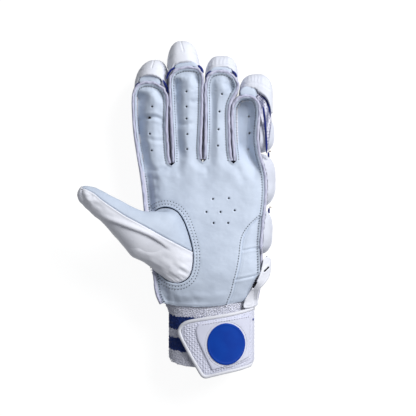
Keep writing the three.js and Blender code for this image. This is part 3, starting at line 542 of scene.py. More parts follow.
# creases: points on the view, depth and width in mm; a positive last number is a rise beside it
CREASES = [
    ([(138, 119.5), (146, 117.5), (155, 117), (163, 120)], -1.5, 1.5, 0.5),
    ([(139, 116), (146, 113), (154, 112), (160, 113)], 0.55, 2.6, 0),
    ([(147, 137), (153, 140), (161, 140.5), (166, 140)], -0.5, 1.5, 0.25),
    ([(156, 88), (160, 95), (164.5, 102)], -1.0, 2.4, 0.3),
    ([(164, 118), (162, 126), (165, 131.5)], -1.1, 1.5, 0.2),
    ([(189, 101), (195, 102), (200, 99.5)], -0.7, 1.9, 0.25),
    ([(176, 123), (184, 124.5), (193, 122.5)], -0.85, 2.0, 0.3),
    ([(177, 145), (182, 153), (188, 160)], -0.5, 2.6, 0.0),
    ([(193, 75), (197, 80), (199, 86)], -0.7, 2.0, 0.2),
    ([(222, 82), (229, 86), (233.5, 92)], -1.1, 2.4, 0.3),
    ([(144, 169), (152, 170.5), (160, 170), (168, 167)], -0.75, 2.0, 0.3),
    ([(146, 175), (152, 178), (158, 180)], -0.8, 2.2, 0.3),
    ([(148, 188), (153, 189), (160, 188)], -0.5, 2.2, 0.2),
    ([(149, 196), (154, 198), (160, 199)], -0.35, 1.8, 0.1),
    ([(176, 166), (179, 172), (180, 178)], -0.55, 2.4, 0.1),
    ([(206, 165), (207, 172), (206, 178)], -0.55, 2.4, 0.1),
    ([(236, 166), (240, 174), (244, 184)], -0.5, 3.0, 0.1),
    ([(163, 287), (167, 294), (168, 303)], -0.9, 1.9, 0.3),
    ([(171, 291), (174, 298), (176, 305)], -0.6, 2.0, 0.2),
    ([(155, 283), (160, 290), (163, 300)], -0.6, 1.8, 0.3),
    ([(186, 290), (192, 297), (200, 303)], -0.35, 3.0, 0.0),
]
# broad swells and hollows: centre on the view, radii in mm, turn in degrees, height in mm
SWELLS = [
    (157, 104, 8, 11, 0, 1.2), (157, 128, 8, 9, 0, 0.9), (158, 150, 9, 12, 0, 0.7), (193, 90, 6, 9, 0, 0.8), (192, 112, 7, 9, 0, 0.7),
    (190, 136, 9, 10, 0, 0.6), (179, 152, 5, 10, 20, -1.6), (212, 100, 6.0, 24, 0, -2.0), (225, 105, 7, 22, 0, 0.6), (231.0, 113, 3.4, 20, -3, -1.9), (229.5, 84, 5.0, 7, 25, -1.9),
    (162.5, 90, 4.6, 7, 30, -1.8), (196.5, 79, 3.6, 5, 30, -1.4), (222, 145, 9, 12, 0, 0.4), (248, 190, 12, 16, 0, 0.7),
    (225, 250, 20, 40, 0, 1.4), (190, 205, 14, 12, 0, 0.9), (158, 182, 9, 10, 0, 1.2), (205, 185, 22, 12, 0, -0.8), (230, 178, 8, 12, 0, 0.5),
    (193, 177, 6, 9, 0, 0.8), (165, 160, 8, 7, 0, 0.4), (200, 296, 24, 8, 0, -0.9), (220, 275, 22, 12, 0, 0.6), (151, 196, 5, 13, 2, -2.4),
    (151.5, 178, 4.5, 8, 0, -2.0), (166, 296, 4.5, 9, -8, -1.6), (160, 275, 5, 12, -6, -1.4), (181, 168, 4, 8, 10, -0.8), (211, 166, 4, 9, 0, -0.8), (242, 172, 4.5, 9, 12, -1.0),
]

OUTER_EDGE = np.array([[77.5, 21.6], [77.3, 30.7], [76.6, 39.2], [73.6, 48], [70.7, 57.2], [70.5, 70], [72.4, 81.8], [70.9, 92], [66.5, 98.1]])

INDEX_EDGE = np.array([[-29.8, 26], [-33.8, 39.2], [-36.2, 52.4], [-37.5, 70], [-37.1, 92.8], [-36.4, 100.8]])


def dishes(x, y, d):
    """Deep hollows: the little finger's panel climbs to its outer edge, the index and middle panels to their middles."""
    edge = smooth(0.3, 2.2, d)
    dr = np.interp(y, OUTER_EDGE[:, 1], OUTER_EDGE[:, 0]) - x
    little = -10.5 * smooth(20, 52, y) * smooth(0.4, 10.0, dr) * (1 - (1 - smooth(44, 60, y)) * smooth(8, 22, dr)) - 3.2 * smooth(44, 60, y) * smooth(8, 20, dr)
    little = little * (x > 49.3) * smooth(0.3, 3.2, d) * (1 - smooth(98.5, 101.5, y))
    wander = 2.2 * noise(x / 10, y / 9, seed=18)
    dl = x - np.interp(y, INDEX_EDGE[:, 1], INDEX_EDGE[:, 0]) + wander
    index = -7.8 * edge * (1 - smooth(0.5, 14.0, dl)) * smooth(-14, -18, x) * smooth(26, 50, y) * (1 - smooth(98, 106, y)) * (1 + 0.22 * np.sin(y / 5.5 + 1))
    dm = x + 6.1 + wander
    middle = -7.2 * smooth(0.5, 4.2, d) * (1 - smooth(3.5, 14.5, dm)) * (np.abs(x - 7.5) < 14.3) * smooth(44, 62, y) * (0.62 + 0.38 * smooth(92, 99, y)) * (1 - smooth(111, 117, y))
    return little + index + middle



def relief(x, y, d, t, hs, full=True):
    """Height of the leather's detail. d: distance inside its edge, t: distance outside the thumb hole, hs: distance from the heel seam."""
    finger = smooth(40, 54, y)
    full = (2.6 - 1.3 * smooth(0, 60, x)) * (1 - finger) + finger * np.where(x < -7, 3.0, np.where(x < 22.4, 3.0, np.where(x < 48, 2.6, 0.4)))
    tips = smooth(96, 106, y) + smooth(84, 92, y) * (x > 46)
    d = d + tips * smooth(0.3, 1.2, d) * 0.55 * noise(x / 1.7, y / 1.7, seed=8)
    channel = smooth(-14, -22, x) * (smooth(38, 28, y) * smooth(-6, 2, y) + smooth(-48, -56, y))
    hem = 1 - smooth(-78, -70, y)
    ridge = (0.35 + 0.25 * finger) * (1 - channel) * (1 - hem)
    sunk = (0.35 + 0.55 * np.maximum(finger, smooth(0, -20, x))) * (1 - hem)
    z = ridge - (sunk + ridge) * smooth(0.2, 1.7, d) + full * smooth(1.9, 10.5, d) - 0.2 * (1 - hem) * bump(d - 1.7, 0.4) - 0.9 * hem * (1 - smooth(0, 2.4, d))
    z += dishes(x, y, d)
    z += channel * (-4.4 * (1 - smooth(2.4, 7.4, d)) + 0.9 * bump(d - 8.4, 1.4))
    z += -3.2 * smooth(-2, -24, x) * smooth(60, 30, y) * smooth(1.0, 9.0, d) * (1 - smooth(6.0, 20.0, d)) * smooth(-80, -60, y) * 0.5
    for pts, depth, width, side in CREASES:
        line = curve([px(*p) for p in pts], 1.5)
        near = (np.abs(x - line[:, 0].mean()) < 26) & (np.abs(y - line[:, 1].mean()) < 26)
        if not near.any():
            continue
        dist, s, _ = field(x[near], y[near], line, closed=False)
        s = s / s.max() if s.size and s.max() > 0 else s
        ends = smooth(0.0, 0.22, s) * (1 - smooth(0.8, 1.0, s)) * 0.8 + 0.2
        w = width * (1 + 0.25 * noise(x[near] / 5, y[near] / 5, seed=7))
        z[near] += ends * (depth * bump(dist, 1.0) ** (1 / np.maximum(w, 0.4) ** 2) + side * bump(dist - 2.3 * width, 1.0) ** (1 / np.maximum(w, 0.4) ** 2))
    for cx, cy, rx, ry, turn, height in SWELLS:
        c = px(cx, cy)
        a = math.radians(turn)
        u, v = (x - c[0]) * math.cos(a) + (y - c[1]) * math.sin(a), -(x - c[0]) * math.sin(a) + (y - c[1]) * math.cos(a)
        z += height * np.exp(-(u / rx) ** 2 - (v / ry) ** 2) * smooth(0.5, 4.0, d)
    z += (0.32 * noise(x / 13, y / 17, seed=3) + 0.14 * noise(x / 6, y / 5, seed=4) + 0.05 * noise(x / 2.2, y / 2.0, seed=5)) * smooth(1.5, 6, d)
    # the seam round the thumb: a soft rise, two sunk rows of needle holes
    z += 0.45 * bump(t - 1.0, 0.9) - 0.22 * bump(t - 2.5, 0.5) + 0.15 * bump(t - 3.9, 0.8) - 0.22 * bump(t - 5.4, 0.5) - 1.0 * np.maximum(0, 0.7 - t) ** 2
    # the heel patch lies a little lower than the palm, with sunk seams
    z += -0.9 * bump(hs, 0.8) - 0.3 * bump(hs - 2.0, 0.55)
    for (ax, ay), (bx, by) in (((243, 250.5), (264, 246.5)), ((236, 279.5), (259, 275))):
        line = np.array([px(ax, ay), px(bx, by)])
        dist, _, _ = field(x, y, line, closed=False)
        z += -0.75 * bump(dist, 0.7) + 0.3 * bump(dist - 2.0, 1.2)
    # a soft dish round each punched hole, with a slightly raised rim
    for cx, cy in HOLES:
        r = np.hypot(x - cx, y - cy)
        z += -0.5 * bump(r, 1.5) + 0.22 * bump(r - 1.9, 0.6)
    return z


def palm_height(x, y):
    """Upper face of the palm leather with all its relief."""
    x, y = np.asarray(x, float), np.asarray(y, float)
    d = signed(x, y, palm_line)
    t, _, t_in = field(x, y, thumb_line)
    hd, _, _ = field(x, y, heel_line, closed=False)
    return palm_top(x, y) - droop(x, y) + relief(x, y, d, np.where(t_in, -t, t), hd)


heel_area = np.concatenate([heel_line, [[95, -90], [95, -2.4]]])
kept = {}


def palm_region(x, y):
    d = signed(x, y, palm_line)
    t, _, t_in = field(x, y, thumb_line)
    t = np.where(t_in, -t, t)
    h = -signed(x, y, heel_area)
    holes = np.min([np.hypot(x - cx, y - cy) for cx, cy in HOLES], axis=0) - HOLE_R
    return np.minimum(np.minimum(d, t - 0.1), np.minimum(h, holes))


def heel_region(x, y):
    return np.minimum(signed(x, y, palm_line), signed(x, y, heel_area) + 1.6)


def sheet_piece(name, h, region_at, lower, mat, drops):
    flat, faces = region(h, -42, 82, -90, 127, region_at)
    z = palm_height(flat[:, 0], flat[:, 1]) - lower
    verts, faces = skirt(np.column_stack([flat, z]), faces, drops)
    return build(name, verts, faces, mat)


palm = sheet_piece("palm_leather_skin", 0.75, palm_region, 0.0, M_PALM, [(0.4, -0.05), (1.9, 0.0)])
place(palm, "palm_leather", "palm_leather")
heel = sheet_piece("heel_patch_skin", 0.75, heel_region, 0.75, M_PALM, [(0.5, -0.05), (0.9, 0.0)])
place(heel, "palm_leather", "heel_patch")
lining_flat, lining_faces = region(2.4, -42, 82, -90, 127, lambda x, y: np.minimum(signed(x, y, palm_line) - 0.4, -signed(x, y, thumb_line) - 0.3))
lining = build("palm_lining", np.column_stack([lining_flat, np.minimum(palm_top(lining_flat[:, 0], lining_flat[:, 1]) - droop(lining_flat[:, 0], lining_flat[:, 1]) - LEATHER - 0.5, palm_height(lining_flat[:, 0], lining_flat[:, 1]) - 1.5)]), [f[::-1] for f in lining_faces], M_LINING)
place(lining, "gusset_cloth")

# dark pits under the punched holes; their near-black colour is painted shade
pits = Bits()
for cx, cy in HOLES:
    z = float(palm_height(np.array([cx]), np.array([cy]))[0])
    a = np.arange(14) * 2 * math.pi / 14
    ring = lambda r, zz: np.stack([cx + r * np.cos(a), cy + r * np.sin(a), np.full(14, zz)], 1)
    v = np.concatenate([ring(1.25, z - 0.15), ring(0.9, z - 0.5), ring(0.8, z - 1.3), [[cx, cy, z - 1.35]]])
    f = grid_faces(3, 14, ring=True, flip=True).tolist() + [[28 + (j + 1) % 14, 28 + j, 42] for j in range(14)]
    pits.add(v, f)
place(pits.build("punched_holes", M_PIT_PAINTED_SHADE), "palm_leather")


# ------------------------------------------------------------------ gussets
def outward(path, closed=False):
    d = np.gradient(path, axis=0) if not closed else np.roll(path, -1, 0) - np.roll(path, 1, 0)
    d /= np.maximum(1e-9, np.linalg.norm(d, axis=1))[:, None]
    return np.stack([-d[:, 1], d[:, 0]], 1)


def along(path):
    return np.concatenate([[0], np.cumsum(np.linalg.norm(np.diff(path, axis=0), axis=1))])


def ring_solid(name, verts, rows, cols, mats, face_material=None):
    """A closed ring section swept through rows, with flat ends. cols is the number of points of a section."""
    faces = grid_faces(rows, cols, ring=True).tolist()
    if face_material is not None:
        face_material = list(face_material) * (rows - 1) + [face_material[0], face_material[0]]
    faces.append(list(range(cols))[::-1])
    faces.append([(rows - 1) * cols + j for j in range(cols)])
    return build(name, verts, faces, mats, face_material)


TIP_Y = {"index": 98, "middle": 108, "ring": 105, "little": 86}
for k in PATHS:
    path = curve(FINGERS[k], 0.7)
    s, out = along(path), outward(path)
    x, y = path[:, 0], path[:, 1]
    seed = {"index": 11, "middle": 12, "ring": 13, "little": 14}[k]
    tip = smooth(TIP_Y[k] - 6, TIP_Y[k] + 4, y)
    P = palm_top(x, y) - droop(x, y)
    if k == "little":
        P = P - (7.2 * smooth(33, 41, -y) + 9.0 * smooth(54, 70, -y)) * (x > 60) + droop(x, y)
    F = floor_top(x, y) + 0.25
    H = P - F
    ends = smooth(0, 5, s) * smooth(0, 5, s[-1] - s)
    lip = (0.3 * noise(s / 3.6, seed=seed) + 0.1 * noise(s / 2.0, seed=seed + 3)) * (1 + 0.9 * tip)
    rise = (0.22 * noise(s / 3.2, seed=seed + 5) + 0.1 * noise(s / 1.8, seed=seed + 6)) * (1 + 1.2 * tip) - 1.6 * (1 - ends)
    fat = 1 + 0.18 * noise(s / 6, seed=seed + 8)
    between = 1.0 if k in ("middle", "ring") else np.where((x > -20) & (x < 60), 1.0, 0.35)
    belly = (0.35 + 0.95 * between * smooth(108, 96, y)) * (1 + 0.25 * noise(s / 14, seed=seed + 9))
    z = lambda f: F + H * f
    section = [(-0.25 + 0 * s, z(0)), (0.25 + 0.5 * belly, z(0.22)), (0.35 + belly, z(0.45)), (0.3 + 0.8 * belly, z(0.68)), (0.2 + 0.3 * belly, z(0.86)),
               (0.15 + lip * 0.6, P - 1.1), (0.34 + lip, P - 0.2 + rise), (0.3 + lip, P + 0.55 + rise), (-0.05 + lip, P + 1.15 + rise), (-0.7 + lip * 0.9, P + 1.38 + rise),
               (-1.4 * fat + lip * 0.8, P + 1.2 + rise), (-1.85 * fat + lip * 0.7, P + 0.75 + rise), (-2.1 * fat + lip * 0.5, P + 0.2), (-2.2, P - 0.8), (-2.6, P - 1.9), (-3.5, P - 2.9), (-3.5, P - 3.2), (-2.1, P - 3.1),
               (-1.7, P - 3.8), (-1.35 + 0.5 * belly, z(0.5)), (-1.6, z(0))]
    rows = len(path)
    v = np.zeros((rows, len(section), 3))
    for j, (a, zz) in enumerate(section):
        a = np.broadcast_to(np.asarray(a, float), (rows,))
        v[:, j, :2] = path + out * a[:, None]
        v[:, j, 2] = zz
    mat = [0 if 5 <= j <= 11 else 1 for j in range(len(section))]
    g = ring_solid(k + "_gusset_edge", v.reshape(-1, 3), rows, len(section), [M_EDGE, M_MESH], mat)
    place(g, "gusset_cloth", k + "_gusset")

# needle stitches: along the palm leather's edges, in the groove behind its ridge
stitches = Bits()


def flat_line(path2, height=palm_height):
    return np.column_stack([path2, height(path2[:, 0], path2[:, 1])])


def up_normal(mid):
    x, y = mid[:, 0], mid[:, 1]
    e = 0.4
    gx = (palm_height(x + e, y) - palm_height(x - e, y)) / (2 * e)
    gy = (palm_height(x, y + e) - palm_height(x, y - e)) / (2 * e)
    n = np.stack([-gx * 0.4, -gy * 0.4, np.ones_like(gx)], 1)
    return n / np.linalg.norm(n, axis=1)[:, None]


for k, path in PATHS.items():
    inner = moved(path, -(INNER + 1.8))
    keep = np.ones(len(inner), bool)
    if k == "little":
        keep = ~((inner[:, 0] > 60) & (inner[:, 1] < -57))
    inner = inner[keep]
    sewn(stitches, flat_line(inner), up_normal, pitch=2.3, length=1.2, radius=0.43, lift=0.1)
end_line = curve(PALM_END, 1.0)
sewn(Bits(), flat_line(moved(end_line, -2.4)), up_normal, pitch=2.25, length=1.2, radius=0.36)
hs = curve(HEEL_SEAM, 1.0)
hs = hs[hs[:, 0] < 74]
sewn(stitches, flat_line(moved(hs, -1.7)), up_normal, pitch=2.3, length=1.3, radius=0.4, lift=0.05)
th = curve(THUMB_HOLE, 1.0, closed=True)
th = np.concatenate([th, th[:1]])
for off in (2.5, 5.3):
    sewn(stitches, flat_line(moved(th, off)), up_normal, pitch=2.7, length=0.95, radius=0.46, lift=-0.02)
place(stitches.build("palm_stitches", M_THREAD), "palm_leather")


# ------------------------------------------------------------------ little finger's mesh gusset
LENS_IN = curve([px(*p) for p in [(256.8, 94.3), (259.3, 101), (260.9, 108), (261.9, 114.5), (263.2, 122), (264.8, 131), (266.0, 142), (267.0, 152)]], 1.0)
LENS_OUT = curve([px(*p) for p in [(258.5, 92.6), (265.6, 98.2), (268.8, 103.6), (270.6, 109.5), (271.4, 116.5), (271.2, 125), (270.2, 134), (268.9, 143), (267.6, 152.3)]], 1.0)
LENS = np.concatenate([LENS_OUT, LENS_IN[::-1]])


def lens_height(x, y):
    t = np.clip(-signed(x, y, outer_line), 0, 12)
    return palm_top(x, y) - 1.2 - 0.22 * t


# ------------------------------------------------------------------ fingertips and foam
CAPS = {
    "index": dict(lean=3.0, power=2.25, x=-23.1, y=107, z=25.5, rx=15.6, ry=26.3, rz=20.5, lo=-60, hi=-8.9, back=97, band_lo=-34.8, band_hi=-14.4, band=4.4),
    "middle": dict(lean=-1.2, power=2.6, x=5.1, y=120, z=27.0, rx=14.4, ry=29.9, rz=20.5, lo=-8.4, hi=21.8, back=106, band_lo=-3.4, band_hi=18.4, band=3.2),
    "ring": dict(lean=0.4, power=2.9, x=39.0, y=112, z=26.5, rx=14.5, ry=24.7, rz=20.5, lo=23.2, hi=53.9, back=103, band_lo=28.2, band_hi=48.6, band=2.5),
    "little": dict(lean=0.8, power=2.9, x=69.6, y=95, z=22.5, rx=15.0, ry=25.7, rz=20.5, lo=54.5, hi=90, back=86, band_lo=54.8, band_hi=70.6, band=6.0),
}


def cube_ball(n):
    """Directions and quads of a ball made from a cube, without poles."""
    t = np.tan(np.linspace(-1, 1, n + 1) * math.pi / 4)
    found, verts, faces = {}, [], []
    for axis in range(3):
        for sign in (-1, 1):
            ids = np.zeros((n + 1, n + 1), int)
            for i in range(n + 1):
                for j in range(n + 1):
                    p = [0.0, 0.0, 0.0]
                    p[axis], p[(axis + 1) % 3], p[(axis + 2) % 3] = float(sign), float(t[i]), float(t[j])
                    key = tuple(round(c, 5) for c in p)
                    if key not in found:
                        found[key] = len(verts)
                        verts.append(p)
                    ids[i, j] = found[key]
            q = np.stack([ids[:-1, :-1], ids[1:, :-1], ids[1:, 1:], ids[:-1, 1:]], -1).reshape(-1, 4)
            faces.append(q if sign > 0 else q[:, ::-1])
    v = np.array(verts)
    return v / np.linalg.norm(v, axis=1)[:, None], np.concatenate(faces)


BALLS = {n: cube_ball(n) for n in (22, 44)}


def pillow(n, cx, cy, cz, rx, ry, rz, power=2.8, turn=0.0):
    d, faces = BALLS[n]
    r = (np.abs(d) ** power).sum(1) ** (-1 / power)
    v = d * r[:, None] * [rx, ry, rz]
    nrm = np.sign(v) * np.abs(v / [rx, ry, rz]) ** (power - 1) / [rx, ry, rz]
    nrm /= np.maximum(1e-9, np.linalg.norm(nrm, axis=1))[:, None]
    a = math.radians(turn)
    rot = np.array([[math.cos(a), -math.sin(a), 0], [math.sin(a), math.cos(a), 0], [0, 0, 1]])
    return v @ rot.T + [cx, cy, cz], nrm @ rot.T, faces


def rest_flat(v):
    """Where a soft piece meets the ground it is pressed flat on it."""
    low = v[:, 2] < 0.9
    v[low, 2] = 0.9 * np.exp((v[low, 2] - 0.9) / 0.9) * 1.0
    v[:, 2] = np.maximum(v[:, 2], 0.004)
    return v


def groove(v, points, depth, width, axis="xy", side=0.0):
    """Depth of a sewn groove at each vertex, for a line given on the view."""
    line = curve([px(*p) for p in points], 1.0)
    dist, s, _ = field(v[:, 0], v[:, 1], line, closed=False)
    return -depth * bump(dist, width) + side * bump(dist - 2.2 * width, width)


CAP_LOOK = {
    "index": dict(arc=[(138, 71), (143, 68.7), (151, 67.6), (159, 67.8), (166, 70)], up=[(153.4, 52), (153.2, 60.7), (151.6, 67.6)], pleats=0.0),
    "middle": dict(arc=[(167, 60), (172, 55.6), (178, 53), (184, 52), (191, 52.6), (199, 55)], up=[(180, 36), (181, 41.7), (183.6, 51.3)], pleats=0.0),
    "ring": dict(arc=[(206, 69.5), (211, 67.2), (219, 65.6), (228, 65.2), (238, 66.5)], up=None, pleats=1.0),
    "little": dict(arc=[(242, 84), (247, 82.4), (255, 82.6), (263, 85), (270, 89.5)], up=None, pleats=1.0),
}


def under_lens(v):
    """Highest place of a pad beside the mesh gusset."""
    away = -signed(v[:, 0], v[:, 1], LENS)
    return np.where(v[:, 0] > 60, lens_height(v[:, 0], v[:, 1]) - 0.9 + 9.0 * np.sqrt(1 - (1 - np.clip((away - 0.3) / 5.0, 0, 1)) ** 2), 99)


for k, c in CAPS.items():
    v, nrm, faces = pillow(44, c["x"], c["y"], c["z"], c["rx"], c["ry"], c["rz"], c["power"])
    v[:, 0] += c["lean"] * np.maximum(0, (v[:, 1] - c["y"]) / c["ry"]) ** 2
    look = CAP_LOOK[k]
    seed = {"index": 31, "middle": 32, "ring": 33, "little": 34}[k]
    upper = smooth(-6, 8, v[:, 2] - c["z"])
    d = 0.22 * noise(v[:, 0] / 8, v[:, 1] / 8, v[:, 2] / 8, seed) + 0.05 * noise(v[:, 0] / 2.8, v[:, 1] / 2.8, v[:, 2] / 2.8, seed + 1)
    arc = curve([px(*p) for p in look["arc"]], 1.0)
    dist, s, _ = field(v[:, 0], v[:, 1], arc, closed=False)
    beyond = v[:, 1] > np.interp(v[:, 0], arc[:, 0], arc[:, 1])
    d += upper * (-0.6 * bump(dist, 0.42) + 0.16 * bump(dist - 1.6, 1.0))
    if look["pleats"]:
        wave = np.sin(v[:, 0] * 2 * math.pi / 3.1 + 2.0 * noise(v[:, 0] / 8, v[:, 1] / 8, seed=seed + 2))
        d += upper * 0.13 * wave * smooth(0.3, 1.6, dist) * (1 - smooth(5, 9, dist)) * beyond
        d += upper * 0.07 * wave * smooth(0.3, 1.4, dist) * (1 - smooth(2.0, 4.0, dist)) * ~beyond
    if look["up"]:
        up_line = curve([px(*p) for p in look["up"]], 1.0)
        du, _, _ = field(v[:, 0], v[:, 1], up_line, closed=False)
        d += -0.55 * bump(du, 0.4) * np.where(v[:, 2] > c["z"] - 10, 1, 0.4) + 0.1 * bump(du - 1.4, 0.8)
    # a seam round the side of the cap, between the top and the foam block behind it
    side = v[:, 2] - (c["z"] - 3 + 1.5 * noise(v[:, 0] / 12, v[:, 1] / 12, seed=seed + 4))
    d += -0.9 * bump(side, 0.7) + 0.3 * bump(np.abs(side) - 2.0, 1.0)
    v = v + nrm * d[:, None]
    out_by = -signed(v[:, 0], v[:, 1], outer_line)
    inside_back = floor_top(v[:, 0], v[:, 1]) - LEATHER - 0.5
    P = palm_top(v[:, 0], v[:, 1])
    in_band = (v[:, 0] > c["band_lo"] - 0.6) & (v[:, 0] < c["band_hi"] + 0.6)
    edge_in = smooth(c["band_lo"] - 3, c["band_lo"] + 1, v[:, 0]) * (1 - smooth(c["band_hi"] - 1, c["band_hi"] + 3, v[:, 0]))
    t = out_by - 0.8 - edge_in * (c["band"] - 0.4)
    base = P - 1.4 - 0.6 * edge_in
    lid = base + 9.0 * np.sqrt(np.maximum(0, 1 - (1 - np.clip(t / 9.0, 0, 1)) ** 2))
    lid = np.where(out_by < 0.45, np.where(out_by < -1.0, inside_back, P - 6), np.where(t < 0, base - 1.0 * np.minimum(1, -t / 0.8), lid))
    v[:, 2] = np.minimum(v[:, 2], lid)
    if k == "little":
        v[:, 2] = np.minimum(v[:, 2], under_lens(v))
    v[:, 0] = np.where(v[:, 1] < c["y"] + 6, np.clip(v[:, 0], c["lo"], c["hi"]), v[:, 0])
    v[:, 1] = np.maximum(v[:, 1], c["back"])
    v = rest_flat(v)
    # The index and middle caps take the lighter copy of the padded white, which is painted light.
    cap = build(k + "_cap_cover", v, faces, M_PAD_PAINTED_LIGHT if k in ("index", "middle") else M_PAD)
    place(cap, "padded_cover", k + "_cap", fill=0.9)

ROLLS = [("index_roll_1", -24.2, 71.5, 96, 14.6, 3.0, 2), ("index_roll_2", -22.4, 43.5, 70.5, 13.9, 0.5, 2), ("middle_roll_1", 7.7, 75.5, 105, 14, 4, 0),
         ("middle_roll_2", 8.2, 45.5, 74.5, 12.4, 1, 0), ("ring_roll_1", 35.4, 75, 102, 11, 3.5, 0), ("ring_roll_2", 35.4, 46, 74, 10.9, 0.8, 0),
         ("index_hand_roll_1", -17.6, 1, 41, 12.8, -0.8, 3), ("middle_hand_roll_1", 8.6, 1.5, 43.5, 12.6, -1.4, 1), ("ring_hand_roll_1", 34.8, 1.5, 43, 12.6, -1.4, -1),
         ("index_hand_roll_2", -11.6, -43, -0.5, 11.2, -0.8, 4), ("middle_hand_roll_2", 11.4, -43, 0, 11.2, -1.4, 1), ("ring_hand_roll_2", 34.2, -43, 0, 11, -1.4, -1)]
SIDE_ROLLS = [("little_roll", 67.4, 51, 84.5, 18.8, 16.5, 18), ("side_roll_1", 67.7, 2.2, 50, 19.4, 16, 18.5), ("side_roll_2", 65.4, -40.5, 1, 19.2, 16, 19.5)]


def foam(name, n, cx, cy, cz, rx, ry, rz, power, turn, seed):
    v, nrm, faces = pillow(n, cx, cy, cz, rx, ry, rz, power, turn)
    u = (v[:, 0] - cx) / rx
    w = (v[:, 1] - cy) / ry
    d = 0.3 * noise(v[:, 0] / 8, v[:, 1] / 8, v[:, 2] / 8, seed) + 0.12 * noise(v[:, 0] / 3, v[:, 1] / 3, v[:, 2] / 3, seed + 1)
    # pinched corners and small radiating puckers near both ends
    ends = smooth(0.6, 0.95, np.abs(w))
    d += 0.22 * ends * np.sin(np.arctan2(v[:, 2] - cz, v[:, 0] - cx) * 26 + 3 * noise(v[:, 0] / 6, v[:, 2] / 6, seed=seed + 2))
    if rx < 16:
        d += -0.8 * bump(u, 0.06) * (1 - 0.6 * ends)
    else:
        # a cover of two panels joined along the side, over the foam
        d += -1.0 * bump(v[:, 2] - cz - 9.5 - 1.0 * np.sin(w * 2.2), 0.7) + 0.35 * bump(v[:, 2] - cz - 7.0, 1.3)
        d += -0.9 * bump(v[:, 2] - cz + 4.0, 0.8)
    v = v + nrm * d[:, None]
    out_by = -signed(v[:, 0], v[:, 1], outer_line)
    under = floor_top(v[:, 0], v[:, 1]) - LEATHER - 0.5
    lid = under + 40 * smooth(0.5, 1.3, out_by)
    if rx >= 16:
        lid = np.where(out_by > 0.6, palm_top(v[:, 0], v[:, 1]) - 5.5 + 5 * np.sqrt(np.clip((out_by - 0.6) / 5, 0, 1)), lid)
    v[:, 2] = np.minimum(v[:, 2], lid)
    if name == "little_roll":
        v[:, 2] = np.minimum(v[:, 2], under_lens(v))
    v = rest_flat(v)
    # The big side rolls take the darker copy of the padded white, which is painted shade.
    return build(name + "_cover", v, faces, M_PAD_PAINTED_SHADE if rx >= 16 else M_PAD)


for i, (name, x, y0, y1, rx, low, turn) in enumerate(ROLLS):
    y = (y0 + y1) / 2
    level = float(floor_top(x, y)) - LEATHER - 2
    ob = foam(name, 22, x, y, level, rx, (y1 - y0) / 2, level - low, 2.8, turn, 50 + 3 * i)
    place(ob, "padded_cover", name, fill=0.9)
for i, (name, x, y0, y1, rx, z, rz) in enumerate(SIDE_ROLLS):
    ob = foam(name, 44, x, (y0 + y1) / 2, z, rx, (y1 - y0) / 2, rz, 3.0, 0, 90 + 3 * i)
    place(ob, "padded_cover", name, fill=0.9)
v, nrm, faces = pillow(44, 28, -61, 6.5, 37, 16, 7.0, 3.2)
d = 0.3 * noise(v[:, 0] / 9, v[:, 1] / 9, v[:, 2] / 9, 120) + 0.12 * noise(v[:, 0] / 3, v[:, 1] / 3, v[:, 2] / 3, 121)
for xs in (4.0, 20.0, 36.0, 52.0):
    d += -1.1 * bump(v[:, 0] - xs, 0.9)
v = v + nrm * d[:, None]
v[:, 2] = np.minimum(v[:, 2], floor_top(v[:, 0], v[:, 1]) - LEATHER - 0.5)
place(build("wrist_pad_cover", rest_flat(v), faces, M_PAD), "padded_cover", "wrist_pad", fill=0.9)

# leather band lying round the end of each finger
for k, c in CAPS.items():
    w = c["band"]
    mid = moved(PATHS[k], GAP + w / 2 + 0.15)
    arc = mid[(mid[:, 1] > c["back"] + 3) & (mid[:, 0] > c["band_lo"]) & (mid[:, 0] < c["band_hi"])]
    s, out = along(arc), outward(arc)
    n = len(arc)
    taper = np.sqrt(smooth(-0.6, 5.0, s) * smooth(-0.6, 5.0, s[-1] - s))
    P = palm_top(arc[:, 0], arc[:, 1]) - 0.35 + 0.2 * noise(s / 4, seed=130) - 1.0 * (1 - taper)
    a = np.array([-1.25, -1.2, -0.7, 0, 0.7, 1.15, 1.3, 1.2, 0, -1.2])
    zz = np.array([-0.6, 0.05, 0.1, 0.0, -0.15, -0.5, -1.2, -2.1, -2.2, -2.1])
    v = np.zeros((n, len(a), 3))
    wave = 0.12 * noise(s / 2, seed=131)
    for j in range(len(a)):
        v[:, j, :2] = arc + out * ((a[j] * (w / 2) + wave) * (0.3 + 0.7 * taper) - (w / 2) * 0.7 * (1 - taper))[:, None]
        v[:, j, 2] = P + zz[j] * (0.6 + 0.4 * taper)
    band = ring_solid(k + "_tip_band_leather", v.reshape(-1, 3), n, len(a), M_PALM)
    place(band, "palm_leather", k + "_tip_band")

# the back's cloth, under the foam, and the walls of the bag
back_flat, back_faces = region(2.2, -46, 84, -78, 130, lambda x, y: np.minimum(signed(x, y, outer_line) - 0.1, y + 77.65))
top_z = floor_top(back_flat[:, 0], back_flat[:, 1])
rim = sorted({i for e in rim_edges(back_faces) for i in e})
low = np.column_stack([back_flat, top_z - LEATHER - 0.18 + 0.15 * noise(back_flat[:, 0] / 4, back_flat[:, 1] / 4, seed=140)])
m = len(back_flat)
v = np.concatenate([np.column_stack([back_flat, top_z]), low])
f = [list(q) for q in back_faces] + [[m + i for i in q][::-1] for q in back_faces] + [[b, a, m + a, m + b] for a, b in rim_edges(back_faces)]
place(build("back_cloth_sheet", v, f, M_BACK), "back_cloth", "back_leather")


